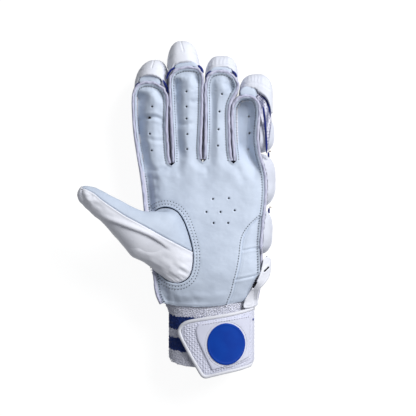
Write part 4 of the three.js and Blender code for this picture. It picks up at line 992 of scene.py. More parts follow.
# ------------------------------------------------------------------ thumb
THUMB = np.array([
    [-18.2, -24.1, 56.5, -0.66, 0.35, 0.66, 24.8, 15.5, 82], [-28.5, -21.5, 60.2, -0.86, 0.46, 0.22, 22.5, 14.2, 73], [-38, -17, 62, -0.86, 0.48, 0.16, 18, 13.8, 66],
    [-47.5, -10, 63.6, -0.85, 0.5, 0.16, 15.2, 13.2, 68], [-56.5, -2.8, 65.5, -0.84, 0.51, 0.18, 13.2, 12.4, 70], [-67.5, 5.2, 68, -0.85, 0.49, 0.2, 10.9, 11.4, 67],
    [-74.8, 10.7, 69.8, -0.86, 0.46, 0.21, 9.3, 10, 60], [-80.6, 13.8, 71.0, -0.88, 0.42, 0.21, 7.4, 8.1, 54], [-83.3, 15.5, 71.6, -0.89, 0.4, 0.21, 5.2, 6.2, 50]])


def thumb_frame(s):
    axis = s[3:6] / np.linalg.norm(s[3:6])
    up = np.array([-axis[1], axis[0], 0])
    up /= np.linalg.norm(up)
    up = up if up[1] > 0 else -up
    over = np.cross(up, axis)
    over /= np.linalg.norm(over)
    return axis, up, over if over[2] > 0 else -over


root_line = curve(THUMB_HOLE, 0.8, closed=True)
root_mid = np.array([-4.9, -31.4])


def root_point(angle, grow, lift):
    d = np.array([19.2 * math.sin(angle), 33.3 * math.cos(angle)])
    d /= np.linalg.norm(d)
    rel = root_line - root_mid
    rel /= np.linalg.norm(rel, axis=1)[:, None]
    best = root_line[int(np.argmax(rel @ d))]
    out = (best - root_mid) / np.linalg.norm(best - root_mid)
    q = best + out * grow
    return np.array([q[0], q[1], float(palm_top(q[0], q[1])) + lift])


def thumb_net(from_deg, to_deg, cols, rows, grow):
    nets = []
    for i in range(11):
        hi = (100.0 if i < 2 else THUMB[i - 2, 8])
        a0 = math.radians(from_deg if from_deg is not None else hi)
        a1 = math.radians(to_deg if to_deg is not None else hi)
        ring = []
        for j in range(cols):
            a = a0 + (a1 - a0) * j / (cols - 1)
            if i < 2:
                ring.append(root_point(a, grow - 0.9, 0.35 if i else -2.2))
            else:
                s = THUMB[i - 2]
                _, up, over = thumb_frame(s)
                ring.append(s[:3] + up * (s[6] + grow) * math.cos(a) + over * (s[7] + grow) * math.sin(a))
        nets.append(ring)
    nets = np.array(nets)
    out = np.zeros((rows, cols, 3))
    for j in range(cols):
        out[:, j] = resample(nets[:, j], rows)
    # soften steps left by the root's corner points
    for _ in range(2):
        out[2:, 1:-1] = 0.5 * out[2:, 1:-1] + 0.25 * (out[2:, 2:] + out[2:, :-2])
    return out


def resample(points, rows):
    fine = curve(points, 0.5)
    s = along(fine)
    at = np.linspace(0, s[-1], rows)
    return np.stack([np.interp(at, s, fine[:, k]) for k in range(3)], 1)


def net_normals(g):
    du = np.gradient(g, axis=0)
    dv = np.gradient(g, axis=1)
    n = np.cross(du, dv)
    return n / np.maximum(1e-9, np.linalg.norm(n, axis=2))[:, :, None]


def point_out(n, g):
    """Turns the normals away from the thumb's middle line."""
    mid = g.mean(axis=1, keepdims=True)
    return n if ((g - mid) * n).sum() > 0 else -n


def two_sided(name, outer, inner, mat, extra=None):
    rows, cols = outer.shape[:2]
    v = np.concatenate([outer.reshape(-1, 3), inner.reshape(-1, 3)])
    m = rows * cols
    f = grid_faces(rows, cols).tolist()
    f += [[m + i for i in q][::-1] for q in f]
    loop = [j for j in range(cols)] + [i * cols + cols - 1 for i in range(1, rows)] + [(rows - 1) * cols + j for j in range(cols - 2, -1, -1)] + [i * cols for i in range(rows - 2, 0, -1)]
    f += [[loop[(k + 1) % len(loop)], loop[k], m + loop[k], m + loop[(k + 1) % len(loop)]] for k in range(len(loop))]
    nrm = np.cross(outer[1, 0] - outer[0, 0], outer[0, 1] - outer[0, 0])
    if extra is not None and (nrm * extra).sum() < 0:
        f = [q[::-1] for q in f]
    return build(name, v, f, mat)


def deform(g, n, lines, seed, low=0.25):
    x, y, z = g[..., 0], g[..., 1], g[..., 2]
    d = low * noise(x / 11, y / 11, z / 11, seed) + 0.1 * noise(x / 4, y / 4, z / 4, seed + 1) + 0.04 * noise(x / 1.5, y / 1.5, z / 1.5, seed + 2)
    face_up = smooth(-0.15, 0.25, n[..., 2])
    for pts, depth, width, side in lines:
        line = curve([px(*p) for p in pts], 1.0)
        dist, s, _ = field(x, y, line, closed=False)
        t = s / max(1e-9, s.max())
        ends = np.clip(smooth(0, 0.25, t) * (1 - smooth(0.75, 1.0, t)), 0, 1)
        d += face_up * ends * (-depth * bump(dist, width) + side * bump(dist - 2.1 * width, width))
    return d


top = thumb_net(-80.0, None, 76, 150, 0.0)
n = point_out(net_normals(top), top)
edge = np.linalg.norm(top - top[:, -1:, :], axis=2)
root = np.arange(150)[:, None] / 149.0
d = deform(top, n, [([(158, 216), (165, 221), (172, 229)], 0.35, 3.0, 0.1), ([(160, 210), (168, 210), (176, 213)], 0.3, 2.0, 0.15), ([(110, 199), (118, 203), (127, 209)], 0.25, 3.0, 0.1)], 150, 0.22)
d += -0.75 * bump(edge, 0.55) + 0.3 * bump(edge - 1.6, 0.9)
# gathers where the thumb is sewn in
d += 0.16 * np.sin(np.linspace(0, 1, 76)[None, :] * 150 + 0 * root) * np.exp(-(root / 0.09) ** 2) * smooth(0.02, 0.05, root)
top_out = top + n * d[..., None]
top_in = thumb_net(-80.0, None, 76, 150, -1.2)
# The thumb's upper leather takes the darker copy of the palm leather, which is painted shade.
upper = two_sided("thumb_leather_skin", top_out, top_in, M_PALM_THUMB_PAINTED_SHADE, n[0, 0])
place(upper, "palm_leather", "thumb_leather")

low = thumb_net(None, 280.0, 104, 170, 0.0)
n = point_out(net_normals(low), low)
edge = np.linalg.norm(low - low[:, :1, :], axis=2)
root = np.arange(170)[:, None] / 169.0
crease = curve([px(*p) for p in [(97, 214.5), (106, 219.2), (118, 223.6), (130, 228), (142, 232.5), (151, 236.5), (160, 242), (168, 247.5), (174, 250.5)]], 1.0)
dist, s, _ = field(low[..., 0], low[..., 1], crease, closed=False)
side_of = low[..., 1] - np.interp(low[..., 0], crease[:, 0], crease[:, 1])
q = np.where(side_of > 0, -dist, dist)
t = s / s.max()
face_up = smooth(-0.35, 0.1, n[..., 2])
strength = smooth(0.0, 0.2, t) * (1 - smooth(0.68, 1.0, t))
d = deform(low, n, [
    ([(82, 187), (84, 195), (88, 203), (93, 210)], 1.0, 2.0, 0.7), ([(88, 197), (93, 197.5), (96, 195)], 0.4, 1.2, 0.3), ([(86, 203), (93, 205), (100, 206), (108, 211)], 0.35, 2.0, 0.35), ([(90, 209), (97, 210), (104, 214)], 0.3, 1.6, 0.25),
    ([(176, 258), (184, 262), (193, 264)], 0.2, 1.8, 0.15), ([(178, 268), (186, 272), (192, 276)], 0.4, 1.5, 0.4),
    ([(170, 262), (180, 270), (188, 279)], 0.35, 2.0, 0.25), ([(146, 262), (154, 266), (163, 271)], 0.45, 1.7, 0.35), ([(160, 254), (172, 260), (184, 266)], 0.2, 2.2, 0.2),
    ([(118, 238), (128, 245), (140, 250)], 0.3, 3.0, 0.2), ([(134, 243), (148, 249), (160, 252)], 0.2, 2.0, 0.15), ([(166, 272), (174, 277), (182, 279)], 0.35, 1.8, 0.3)], 160, 0.22)
d += face_up * strength * (np.where(q > -0.6, -4.8 * smooth(-0.6, 1.2, q) * np.exp(-np.maximum(0, q - 1.2) / 9.0), 0) + 1.3 * np.exp(-((q + 2.2) / 2.2) ** 2))
d += -0.5 * bump(edge, 0.35) + 0.6 * bump(edge - 1.1, 0.9)
d += 0.18 * np.sin(np.linspace(0, 1, 104)[None, :] * 120 + 0 * root) * np.exp(-(root / 0.1) ** 2) * smooth(0.02, 0.05, root)
low_out = low + n * d[..., None]
low_in = thumb_net(None, 280.0, 104, 170, -1.2)
lower = two_sided("thumb_white_side", low_out, low_in, M_WHITE, n[0, 0])
place(lower, "white_leather", "thumb_gusset")

# rounded end of the thumb
tip = THUMB[-1]
axis, up, over = thumb_frame(tip)
rows = []
for r, l in ((1.0, 0.0), (0.88, 0.8), (0.62, 1.4), (0.32, 1.75)):
    a = np.arange(24) * 2 * math.pi / 24
    rows.append(tip[:3] + axis * l + up * (tip[6] * r * np.cos(a))[:, None] + over * (tip[7] * r * np.sin(a))[:, None])
v = np.concatenate(rows + [[tip[:3] + axis * 1.85], [tip[:3] - axis * 0.5]])
f = grid_faces(4, 24, ring=True).tolist() + [[72 + j, 72 + (j + 1) % 24, 96] for j in range(24)] + [[(j + 1) % 24, j, 97] for j in range(24)]
place(build("thumb_tip_end", v, f, M_WHITE), "white_leather")

# the two foam pads on the back of the thumb
for name, st, al, u_, dp, drop, shift, seed in (("thumb_pad_tip", 5, 15.5, 8.8, 9.5, 8.0, 1.0, 170), ("thumb_pad_base", 3, 15.5, 13.5, 10.0, 10.0, 7.5, 173)):
    s = THUMB[st]
    axis, up, over = thumb_frame(s)
    base, nn, faces = pillow(44, 0, 0, 0, u_, al, dp, 2.6)
    d = 0.25 * noise(base[:, 0] / 6, base[:, 1] / 6, base[:, 2] / 6, seed) + 0.1 * noise(base[:, 0] / 2.5, base[:, 1] / 2.5, base[:, 2] / 2.5, seed + 1)
    d += -0.9 * bump(base[:, 2], 0.8) + 0.3 * bump(np.abs(base[:, 2]) - 2.0, 1.0) - 0.8 * bump(base[:, 1], 0.8) * (base[:, 2] < 0)
    base = base + nn * d[:, None]
    third = np.cross(up, -axis)
    centre = s[:3] - over * drop - axis * shift - up * 1.0
    v = centre + base[:, :1] * up + base[:, 1:2] * (-axis) + base[:, 2:] * third
    # the pad's inner face follows the thumb: it is pressed down to the thumb's surface
    stations = THUMB[:, :3]
    rel = v[:, None, :] - stations[None]
    k = np.argmin((rel ** 2).sum(2), axis=1)
    for _ in range(1):
        lo_i = np.clip(k - 1, 0, 7)
        seg = stations[lo_i + 1] - stations[lo_i]
        tt = np.clip(((v - stations[lo_i]) * seg).sum(1) / (seg ** 2).sum(1), 0, 2)
    kk = np.clip(lo_i + tt, 0, 8)
    i0 = np.floor(kk).astype(int).clip(0, 7)
    fr = (kk - i0)[:, None]
    st_here = THUMB[i0] * (1 - fr) + THUMB[i0 + 1] * fr
    ax_ = st_here[:, 3:6] / np.linalg.norm(st_here[:, 3:6], axis=1)[:, None]
    up_ = np.stack([-ax_[:, 1], ax_[:, 0], 0 * ax_[:, 0]], 1)
    up_ /= np.linalg.norm(up_, axis=1)[:, None]
    up_ *= np.where(up_[:, 1:2] > 0, 1, -1)
    ov_ = np.cross(up_, ax_)
    ov_ *= np.where(ov_[:, 2:] > 0, 1, -1)
    rel = v - st_here[:, :3]
    cu, cv = (rel * up_).sum(1), (rel * ov_).sum(1)
    ru, rv = st_here[:, 6] + 0.75, st_here[:, 7] + 0.75
    floor_v = -rv * np.sqrt(np.maximum(0, 1 - (cu / ru) ** 2))
    v = v + ov_ * np.where((np.abs(cu) < ru) & (cv > floor_v), floor_v - cv, 0)[:, None]
    place(build(name + "_cover", v, faces, M_PAD), "white_leather", name, fill=0.9)


# ------------------------------------------------------------------ cuff
CX, CZ, RX, RZ, WALL, POWER, CUFF_TOP, CUFF_HEM = 28.5, 27.0, 36.0, 20.0, 3.0, 2.3, -78.0, -131.0


def wrist(a, y, grow):
    a, y, grow = np.broadcast_arrays(np.asarray(a, float), np.asarray(y, float), np.asarray(grow, float))
    c, s, e = np.cos(a), np.sin(a), 2 / POWER
    return np.stack([CX + np.sign(c) * (RX + grow) * np.abs(c) ** e, y, CZ + np.sign(s) * (RZ + grow) * np.abs(s) ** e], -1)


def flare(a, y):
    """How far the cuff widens towards the hand on the thumb's side."""
    return 4.6 * smooth(-93, -79, y) * np.maximum(0, -np.cos(a)) ** 2


def hem_at(a):
    return CUFF_HEM - 8.2 * np.maximum(0, np.sin(a)) ** 0.8


def angle_of_x(x, grow):
    r = np.minimum(1, np.abs(np.asarray(x, float) - CX) / (RX + grow)) ** (POWER / 2)
    return np.where(np.asarray(x) >= CX, np.arccos(r), math.pi - np.arccos(r))


def even_angles(count, grow=0.0, a0=0.0, a1=2 * math.pi):
    fine = np.linspace(a0, a1, 4001)
    s = along(wrist(fine, 0, grow))
    return np.interp(np.linspace(0, s[-1], count), s, fine)


def stripe(a, y):
    w = y + 3.6 * np.maximum(0, np.sin(a)) ** 0.8 + 0.35 * np.sin(a * 61)
    return ((w < -91.6) & (w > -103.8)) | ((w < -111.0) & (w > -122.4))


cols = 181
angles = even_angles(cols)[:-1]
cols = 180
rows = 60
t = np.linspace(0, 1, rows)[:, None]
yy = CUFF_TOP + (hem_at(angles)[None] - CUFF_TOP) * t
aa = np.broadcast_to(angles[None], yy.shape)
rib = 0.35 * noise(np.cos(aa) * 9, np.sin(aa) * 9, yy / 40, 180) + 0.18 * noise(np.cos(aa) * 22, np.sin(aa) * 22, yy / 12, 181)
outer = wrist(aa, yy, -0.95 + rib - 0.5 * smooth(0.96, 1.0, t) + flare(aa, yy))
inner = wrist(aa, yy, -WALL + flare(aa, yy))
m = rows * cols
v = np.concatenate([outer.reshape(-1, 3), inner.reshape(-1, 3)])
f = grid_faces(rows, cols, ring=True, flip=True).tolist()
mats = [1 if stripe(angles[k % cols], yy[k // cols, k % cols] - 0.45) else 0 for k in range((rows - 1) * cols)]
f += [[m + i for i in q][::-1] for q in f]
mats += mats
for j in range(cols):
    k = (j + 1) % cols
    f.append([j, k, m + k, m + j])
    f.append([(rows - 1) * cols + k, (rows - 1) * cols + j, m + (rows - 1) * cols + j, m + (rows - 1) * cols + k])
    mats += [0, 0]
M_TERRY = material("white_towelling", (0.74, 0.75, 0.84), 0.95, cloth((0.68, 0.69, 0.79), (0.8, 0.81, 0.89), 0.0009, 0.0002, 0.9), 0.1)
M_TERRY_NAVY = material("navy_towelling", (0.01, 0.035, 0.2), 0.95, cloth((0.006, 0.022, 0.14), (0.014, 0.05, 0.27), 0.0009, 0.0002, 0.9), 0.1)
cuff = build("cuff_towelling", v, f, [M_TERRY, M_TERRY_NAVY], mats)
place(cuff, "towelling", "cuff")


collar_rows = []
for yc, f_, grow_ in ((-83.0, 0.0, -1.6), (-80.0, 0.0, -1.3), (-78.0, 0.35, 0.0), (-76.0, 0.7, 0.0), (-73.0, 0.95, 0.0), (-68.0, 1.0, 0.0)):
    near = wrist(angles, yc, grow_ + flare(angles, yc))
    c_, s_ = np.cos(angles), np.sin(angles)
    far = np.stack([26.8 + np.sign(c_) * 42.0 * np.abs(c_) ** 0.7, np.full(cols, yc), 29.0 + np.sign(s_) * 15.5 * np.abs(s_) ** 0.7], 1)
    far[:, 2] = np.minimum(far[:, 2], palm_top(far[:, 0], far[:, 1]) - droop(far[:, 0], far[:, 1]) - 3.4)
    ring = near * (1 - f_) + far * f_
    ring[:, 1] = yc
    collar_rows.append(ring)
outer_c = np.array(collar_rows)
inner_c = outer_c + (np.array([26.8, 0, 28.0]) - outer_c) * np.array([0.03, 0, 0.05])
n_r = len(collar_rows)
v = np.concatenate([outer_c.reshape(-1, 3), inner_c.reshape(-1, 3)])
f = grid_faces(n_r, cols, ring=True).tolist()
f += [[n_r * cols + i for i in q][::-1] for q in f]
for j in range(cols):
    k = (j + 1) % cols
    f.append([k, j, n_r * cols + j, n_r * cols + k])
    f.append([(n_r - 1) * cols + j, (n_r - 1) * cols + k, n_r * cols + (n_r - 1) * cols + k, n_r * cols + (n_r - 1) * cols + j])
place(build("cuff_collar", v, f, M_TERRY), "towelling")


# ------------------------------------------------------------------ strap
STRAP_UPPER = np.array([[68.8, -85.0], [60.4, -87.4], [46.3, -90.6], [28.7, -93.5], [15.5, -95.7], [7.6, -97.8], [2.7, -101.2], [0.2, -107.4]])
STRAP_LOWER = np.array([[68.8, -137.6], [62.0, -140.0], [53.2, -142.2], [41.9, -144.5], [30.0, -147.3], [24.5, -148.2], [21.5, -147.0], [15.5, -137.7], [7.6, -123.6], [0.2, -108.4]])
STRAP_GAP, STRAP_THICK, BINDING = 0.5, 3.2, 1.7
STRAP_OUT = STRAP_GAP + STRAP_THICK
RIM_IN = BINDING + 0.6


def by_x(table, x):
    t = table[np.argsort(table[:, 0])]
    return np.interp(x, t[:, 0], t[:, 1])


def back_edge(a_deg, which):
    ta = np.array([-140.0, -90, -40, 0])
    tv = np.array([-89.0, -88, -87, -87.2]) if which == "upper" else np.array([-127.0, -128, -131, -135])
    return np.interp(a_deg, ta, tv)


strap_angles = np.concatenate([np.radians(np.linspace(-140, -4, 150)), angle_of_x(np.linspace(68.9, 3.4, 156), STRAP_OUT)])
keep = np.concatenate([[True], np.diff(strap_angles) > 1e-4])
strap_angles = strap_angles[keep]
x_at = wrist(strap_angles, 0, STRAP_OUT)[:, 0]
on_palm = strap_angles > 0
upper = np.where(on_palm, by_x(STRAP_UPPER, x_at), back_edge(np.degrees(strap_angles), "upper")) - RIM_IN
lower = np.where(on_palm, by_x(STRAP_LOWER, x_at), back_edge(np.degrees(strap_angles), "lower")) + RIM_IN * np.where(on_palm & (x_at < 23), 1.9, 1)
lower = np.where(on_palm & (x_at < 23), np.minimum(lower, upper - 1.0), lower)
start_round = 5 * (1 - smooth(-140, -132, np.degrees(strap_angles)))
upper, lower = upper - start_round, lower + start_round
RS = 92
t = np.linspace(0, 1, RS)
yy = upper[:, None] + (lower - upper)[:, None] * t[None]
aa = np.broadcast_to(strap_angles[:, None], yy.shape)
pos = wrist(aa, yy, STRAP_OUT)
run = along(wrist(strap_angles, 0, STRAP_OUT))[:, None] + 0 * yy
slant = yy - 0.16 * run
u_, v_ = run / 2.35, slant / 1.8
cell = (np.floor(u_) + np.floor(v_)) % 2
weave = np.where(cell > 0, np.abs(np.sin(math.pi * u_)) ** 0.7 * np.abs(np.sin(math.pi * v_)) ** 0.5, 0.55 * np.abs(np.sin(math.pi * u_)) ** 0.5 * np.abs(np.sin(math.pi * v_)) ** 0.8)
edge_y = np.minimum(upper[:, None] - yy, yy - lower[:, None])
weave_on = smooth(1.2, 2.0, edge_y) * smooth(1.5, 3.0, run) * smooth(1.5, 3.0, run.max() - run)
under = on_palm[:, None] * smooth(1, 3, 4.0 + (x_at[:, None] - 100))
grow = STRAP_OUT - 0.45 + 0.8 * weave * weave_on - 0.9 * (1 - smooth(0, 0.9, edge_y)) ** 2 + 0.12 * noise(run / 9, yy / 9, seed=200)
outer = wrist(aa, yy, grow)
inner = wrist(aa, yy, STRAP_GAP)
M_STRAP = material("moulded_white", (0.63, 0.65, 0.77), 0.5, plastic((0.615, 0.63, 0.75), (0.655, 0.67, 0.79), 0.46, 0.58), 0.2)
M_WELT = material("welt_white", (0.67, 0.68, 0.735), 0.45, plastic((0.65, 0.66, 0.715), (0.69, 0.7, 0.755), 0.38, 0.5), 0.2)
M_BADGE = material("badge_blue", (0.001, 0.042, 0.33), 0.5, plastic((0.001, 0.038, 0.315), (0.001, 0.047, 0.35), 0.44, 0.56), 0.15)
strap = two_sided("strap_sheet", outer, inner, M_STRAP, outer[3, 3] - inner[3, 3])
place(strap, "strap", "strap")

outline = curve(np.concatenate([STRAP_UPPER[:-1], [[0.4, -107.6]], STRAP_LOWER[::-1][1:]]), 1.0)
centre_line = moved(outline, BINDING) if signed(moved(outline, BINDING)[40:41, 0], moved(outline, BINDING)[40:41, 1], outline)[0] > 0 else moved(outline, -BINDING)
centre_line = centre_line[centre_line[:, 0] < 67.2][::3]
bind_at = STRAP_GAP + STRAP_THICK / 2 + 0.3
rim_line = [wrist(math.radians(a), float(back_edge(a, "upper")) - BINDING, bind_at) for a in (-40, -30, -20, -10)]
rim_line += [wrist(float(angle_of_x(x, bind_at)), y, bind_at) for x, y in centre_line]
rim_line += [wrist(math.radians(a), float(back_edge(a, "lower")) + BINDING, bind_at) for a in (-10, -20, -30, -40)]
welt = curve(np.array(rim_line), 1.0)
s = along(welt)
middle_face = np.array([0, 0, 1.0])
tng = np.gradient(welt, axis=0)
tng /= np.linalg.norm(tng, axis=1)[:, None]
# the way out of the wrist at each point of the welt
aw = np.arctan2(np.sign(welt[:, 2] - CZ) * (np.abs(welt[:, 2] - CZ) / RZ) ** (POWER / 2), np.sign(welt[:, 0] - CX) * (np.abs(welt[:, 0] - CX) / RX) ** (POWER / 2))
off = wrist(aw, 0, 1.0) - wrist(aw, 0, 0.0)
off /= np.linalg.norm(off, axis=1)[:, None]
off -= (off * tng).sum(1)[:, None] * tng
off /= np.linalg.norm(off, axis=1)[:, None]
sid = np.cross(tng, off)
a = np.arange(16) * 2 * math.pi / 16
lower_part = smooth(s[-1] * 0.655, s[-1] * 0.69, s)
rad = BINDING * (1 - 0.14 * lower_part) * (1 + 0.03 * noise(s / 3, seed=210))
across = np.cos(a)[None] * rad[:, None] * 1.0
high = np.sin(a)[None] * rad[:, None] * (1 - 0.35 * lower_part)[:, None]
v = welt[:, None, :] + sid[:, None, :] * across[..., None] + off[:, None, :] * (high + 0.25)[..., None]
welt_ob = ring_solid("strap_welt", v.reshape(-1, 3), len(welt), 16, M_WELT)
place(welt_ob, "strap_binding", "strap_binding")


def face_z(x, grow):
    return wrist(angle_of_x(x, grow), 0, grow)[..., 2]


PANEL = [[64.5, -93.5], [46.5, -95.6], [30, -98.2], [22.0, -99.4], [18.2, -101.2], [16.3, -104.5], [16.4, -109], [17.6, -114.5], [22, -124], [30.3, -141], [45, -136.8], [57, -133.2], [63, -130.2]]
panel_line = np.array(PANEL[:1] + curve(PANEL[:8], 1.0).tolist() + PANEL[8:])
pflat, pfaces = region(0.85, 14, 66, -143, -91, lambda x, y: signed(x, y, panel_line))
pd = signed(pflat[:, 0], pflat[:, 1], panel_line)
badge_r = np.hypot((pflat[:, 0] - 42.9) / 16.8, (pflat[:, 1] + 117.9) / 18.3)
grow = 3.75 + 0.95 * np.sqrt(1 - (1 - np.clip(pd / 0.9, 0, 1)) ** 2) - 0.3 * bump((badge_r - 1.09) * 17, 0.5) + 0.05 * noise(pflat[:, 0] / 6, pflat[:, 1] / 6, seed=220)
pz = np.array([float(face_z(xx, gg)) for xx, gg in zip(pflat[:, 0], grow)])
v, f = skirt(np.column_stack([pflat, pz]), pfaces, [(0.4, 0.0), (0.7, 0.3)])
panel = build("strap_panel_smooth", v, f, M_STRAP)
place(panel, "strap", "strap_panel")

# round badge: a plain blue disc with a bevelled edge and a fine raised ring
rings_r = [0.0, 0.2, 0.4, 0.6, 0.75, 0.86, 0.885, 0.9, 0.915, 0.94, 0.965, 0.985, 0.996, 1.0, 1.0, 0.985]
rings_g = [5.3, 5.3, 5.3, 5.3, 5.3, 5.3, 5.32, 5.44, 5.48, 5.48, 5.46, 5.36, 5.2, 5.0, 4.6, 4.4]
nb = 96
v = []
for r, g in zip(rings_r, rings_g):
    a = np.arange(nb) * 2 * math.pi / nb
    xs, ys = 42.9 + 16.8 * r * np.cos(a), -117.9 + 18.3 * r * np.sin(a)
    v.append(np.column_stack([xs, ys, [float(face_z(q_, g)) for q_ in xs]]))
v = np.concatenate(v[1:] + [v[0][:1]])
nr = len(rings_r) - 1
f = grid_faces(nr, nb, ring=True, flip=False).tolist() + [[j, (j + 1) % nb, nr * nb] for j in range(nb)] + [[(nr - 1) * nb + j for j in range(nb)]]
f = [list(q) if len(q) != 4 else list(q)[::-1] for q in f]
ring_a = np.arange(120) * 2 * math.pi / 120
ring_xy = np.column_stack([42.9 + 16.8 * 1.1 * np.cos(ring_a), -117.9 + 18.3 * 1.1 * np.sin(ring_a)])
ring_v, ring_f = tube(np.column_stack([ring_xy, [float(face_z(q_, 4.66)) for q_ in ring_xy[:, 0]]]), 0.26, sides=6, closed=True)
place(build("badge_ring", ring_v, ring_f, M_WELT), "strap")
badge = build("badge_disc", v, f, M_BADGE)
place(badge, "badge", "badge")


def wrist_normal(mid):
    a = angle_of_x(mid[:, 0], 5.0)
    o = wrist(a, 0, 1.0) - wrist(a, 0, 0.0)
    return o / np.linalg.norm(o, axis=1)[:, None]


strap_stitches = Bits()
top_row = curve([[63.5, -93.9], [46.5, -96.5], [30, -99.1], [21.5, -100.6]], 1.0)
low_row = curve([[30.6, -142.0], [45, -138.0], [57, -134.4], [64, -131.4]], 1.0)
for row_, g in ((top_row + [0, -0.5], 4.72), (low_row, 3.9)):
    line3 = np.column_stack([row_, [float(face_z(q_, g)) for q_ in row_[:, 0]]])
    sewn(strap_stitches, line3, wrist_normal, pitch=2.3, length=1.5, radius=0.3)
place(strap_stitches.build("strap_stitches", M_THREAD_PALE), "strap")

# ------------------------------------------------------------------ towelling loops, where the cuff shows
loops, loop_mats = Bits(), []
step = 1.42
girth = along(wrist(np.linspace(0, 2 * math.pi, 2000), 0, 0.0))[-1]
na = int(girth / step)
for i, a in enumerate(even_angles(na + 1)[:-1]):
    low_y = float(hem_at(a))
    for k in range(int((CUFF_TOP - low_y) / step)):
        y = CUFF_TOP - 0.6 - k * step - (0.5 * step if i % 2 else 0)
        if y < low_y + 0.3:
            continue
        j = RNG.random(6)
        aw_deg = math.degrees(a if a < math.pi else a - 2 * math.pi)
        x_here = float(wrist(a, 0, STRAP_OUT)[0])
        if 0 <= aw_deg and x_here > 6.0:
            if float(by_x(STRAP_LOWER, x_here)) + 5 < y < float(by_x(STRAP_UPPER, x_here)) - 4:
                continue
        if -139 < aw_deg < 0 and float(back_edge(aw_deg, "lower")) + 3 < y < float(back_edge(aw_deg, "upper")) - 3:
            continue
        # under the palm's leather and the flap nothing shows
        if y > (-82.0 if aw_deg < 72 else -79.8) and 12 < aw_deg < 160:
            continue
        aj = a + (j[0] - 0.5) * 0.016
        base = wrist(aj, y + (j[1] - 0.5) * 0.5, -1.2 + flare(aj, y))
        o = wrist(aj, 0, 1.0) - wrist(aj, 0, 0.0)
        o /= np.linalg.norm(o)
        turn = (j[2] - 0.5) * 2.4
        side = np.cross(o, [0, 1, 0])
        side /= np.linalg.norm(side)
        al_ = side * math.cos(turn) + np.array([0, 1.0, 0]) * math.sin(turn)
        cr_ = np.cross(o, al_)
        h, w = 1.1 + 0.6 * j[3], 0.55 + 0.2 * j[4]
        lean = (j[5] - 0.5) * 0.7
        pts = [base - al_ * w, base - al_ * w * 0.9 + o * h * 0.75 + cr_ * lean * 0.5, base + o * (h + 0.15) + cr_ * lean, base + al_ * w * 0.9 + o * h * 0.75 + cr_ * lean * 0.5, base + al_ * w]
        r = 0.34
        tans = [o, (pts[2] - pts[0]), al_, (pts[4] - pts[2]), -o]
        vv = []
        for p_, t_ in zip(pts, tans):
            t_ = t_ / np.linalg.norm(t_)
            e1 = cr_
            e2 = np.cross(t_, e1)
            vv += [p_ + e1 * r, p_ + e2 * r, p_ - e1 * r, p_ - e2 * r]
        loops.add(vv, grid_faces(5, 4, ring=True).tolist() + [[0, 1, 2, 3], [19, 18, 17, 16]])
        loop_mats += [1 if stripe(a, y) else 0] * 18
loop_ob = build("cuff_loops", np.concatenate(loops.v), loops.f, [M_TERRY, M_TERRY_NAVY], loop_mats)
place(loop_ob, "towelling")

# ------------------------------------------------------------------ flap at the little-finger side of the wrist
FLAP = [[70.6, -60.9], [74.0, -51.0], [76.4, -43.4], [79.5, -41.9], [82.4, -43.6], [83.0, -50.0], [82.4, -55.5], [80.6, -60.7], [76.4, -66.0], [72.6, -70.4], [71.2, -77.0], [70.6, -84.6], [66, -86.6], [58.2, -86.6], [58.4, -82], [60.2, -77.6], [64.6, -70.6]]
flap_line = curve(FLAP, 1.0, closed=True)
SLOTS = [(px(266.6, 269.4), 3.2, 0.8, 40), (px(254.8, 285.0), 3.3, 0.6, 60)]


def flap_top(x, y):
    high = palm_top(x, y) + 0.4 - 15 * np.maximum(0, (x - 69) / 14) ** 2
    near = wrist(angle_of_x(np.minimum(x, 67.6), 4.4), 0, 4.4)[..., 2] + 0.3
    t = smooth(-62, -82, y)
    return high * (1 - t) + np.minimum(high, np.maximum(near, 36)) * t


def slot_distance(x, y):
    best = np.full(np.shape(x), 1e9)
    for (cx, cy), l, w, deg in SLOTS:
        a = math.radians(deg)
        u, v = (x - cx) * math.cos(a) + (y - cy) * math.sin(a), -(x - cx) * math.sin(a) + (y - cy) * math.cos(a)
        best = np.minimum(best, np.hypot(np.maximum(np.abs(u) - (l - w), 0), v) - w)
    return best


fflat, ffaces = region(0.55, 58, 85, -89, -39, lambda x, y: np.minimum(signed(x, y, flap_line), slot_distance(x, y)))
fd = signed(fflat[:, 0], fflat[:, 1], flap_line)
sd = slot_distance(fflat[:, 0], fflat[:, 1])
fz = flap_top(fflat[:, 0], fflat[:, 1]) + 0.7 - 1.1 * np.maximum(0, 1.0 - fd) ** 2 + 0.5 * bump(sd - 1.0, 0.8) - 0.35 * bump(fd - 2.0, 0.5)
fz += 0.3 * noise(fflat[:, 0] / 5, fflat[:, 1] / 7, seed=230) + 0.1 * noise(fflat[:, 0] / 2, fflat[:, 1] / 2, seed=231)
oval = np.hypot((fflat[:, 0] - px(268.6, 279)[0]) / 2.4, (fflat[:, 1] - px(268.6, 279)[1]) / 2.0)
fz += -0.35 * bump((oval - 1) * 2.2, 0.45)
fold = curve([px(*p) for p in [(272, 262), (264, 271), (258, 280), (252, 290), (246, 300)]], 1.0)
fdist, fs, _ = field(fflat[:, 0], fflat[:, 1], fold, closed=False)
fz += 0.7 * bump(fdist, 1.6)
v, f = skirt(np.column_stack([fflat, fz]), ffaces, [(0.7, -0.05), (1.9, 0.0)])
flap = build("wrist_flap_leather", v, f, M_WHITE)
place(flap, "white_leather", "wrist_flap")
# Dark plugs in the flap's slots, near-black as painted shade.
slot_bits = Bits()
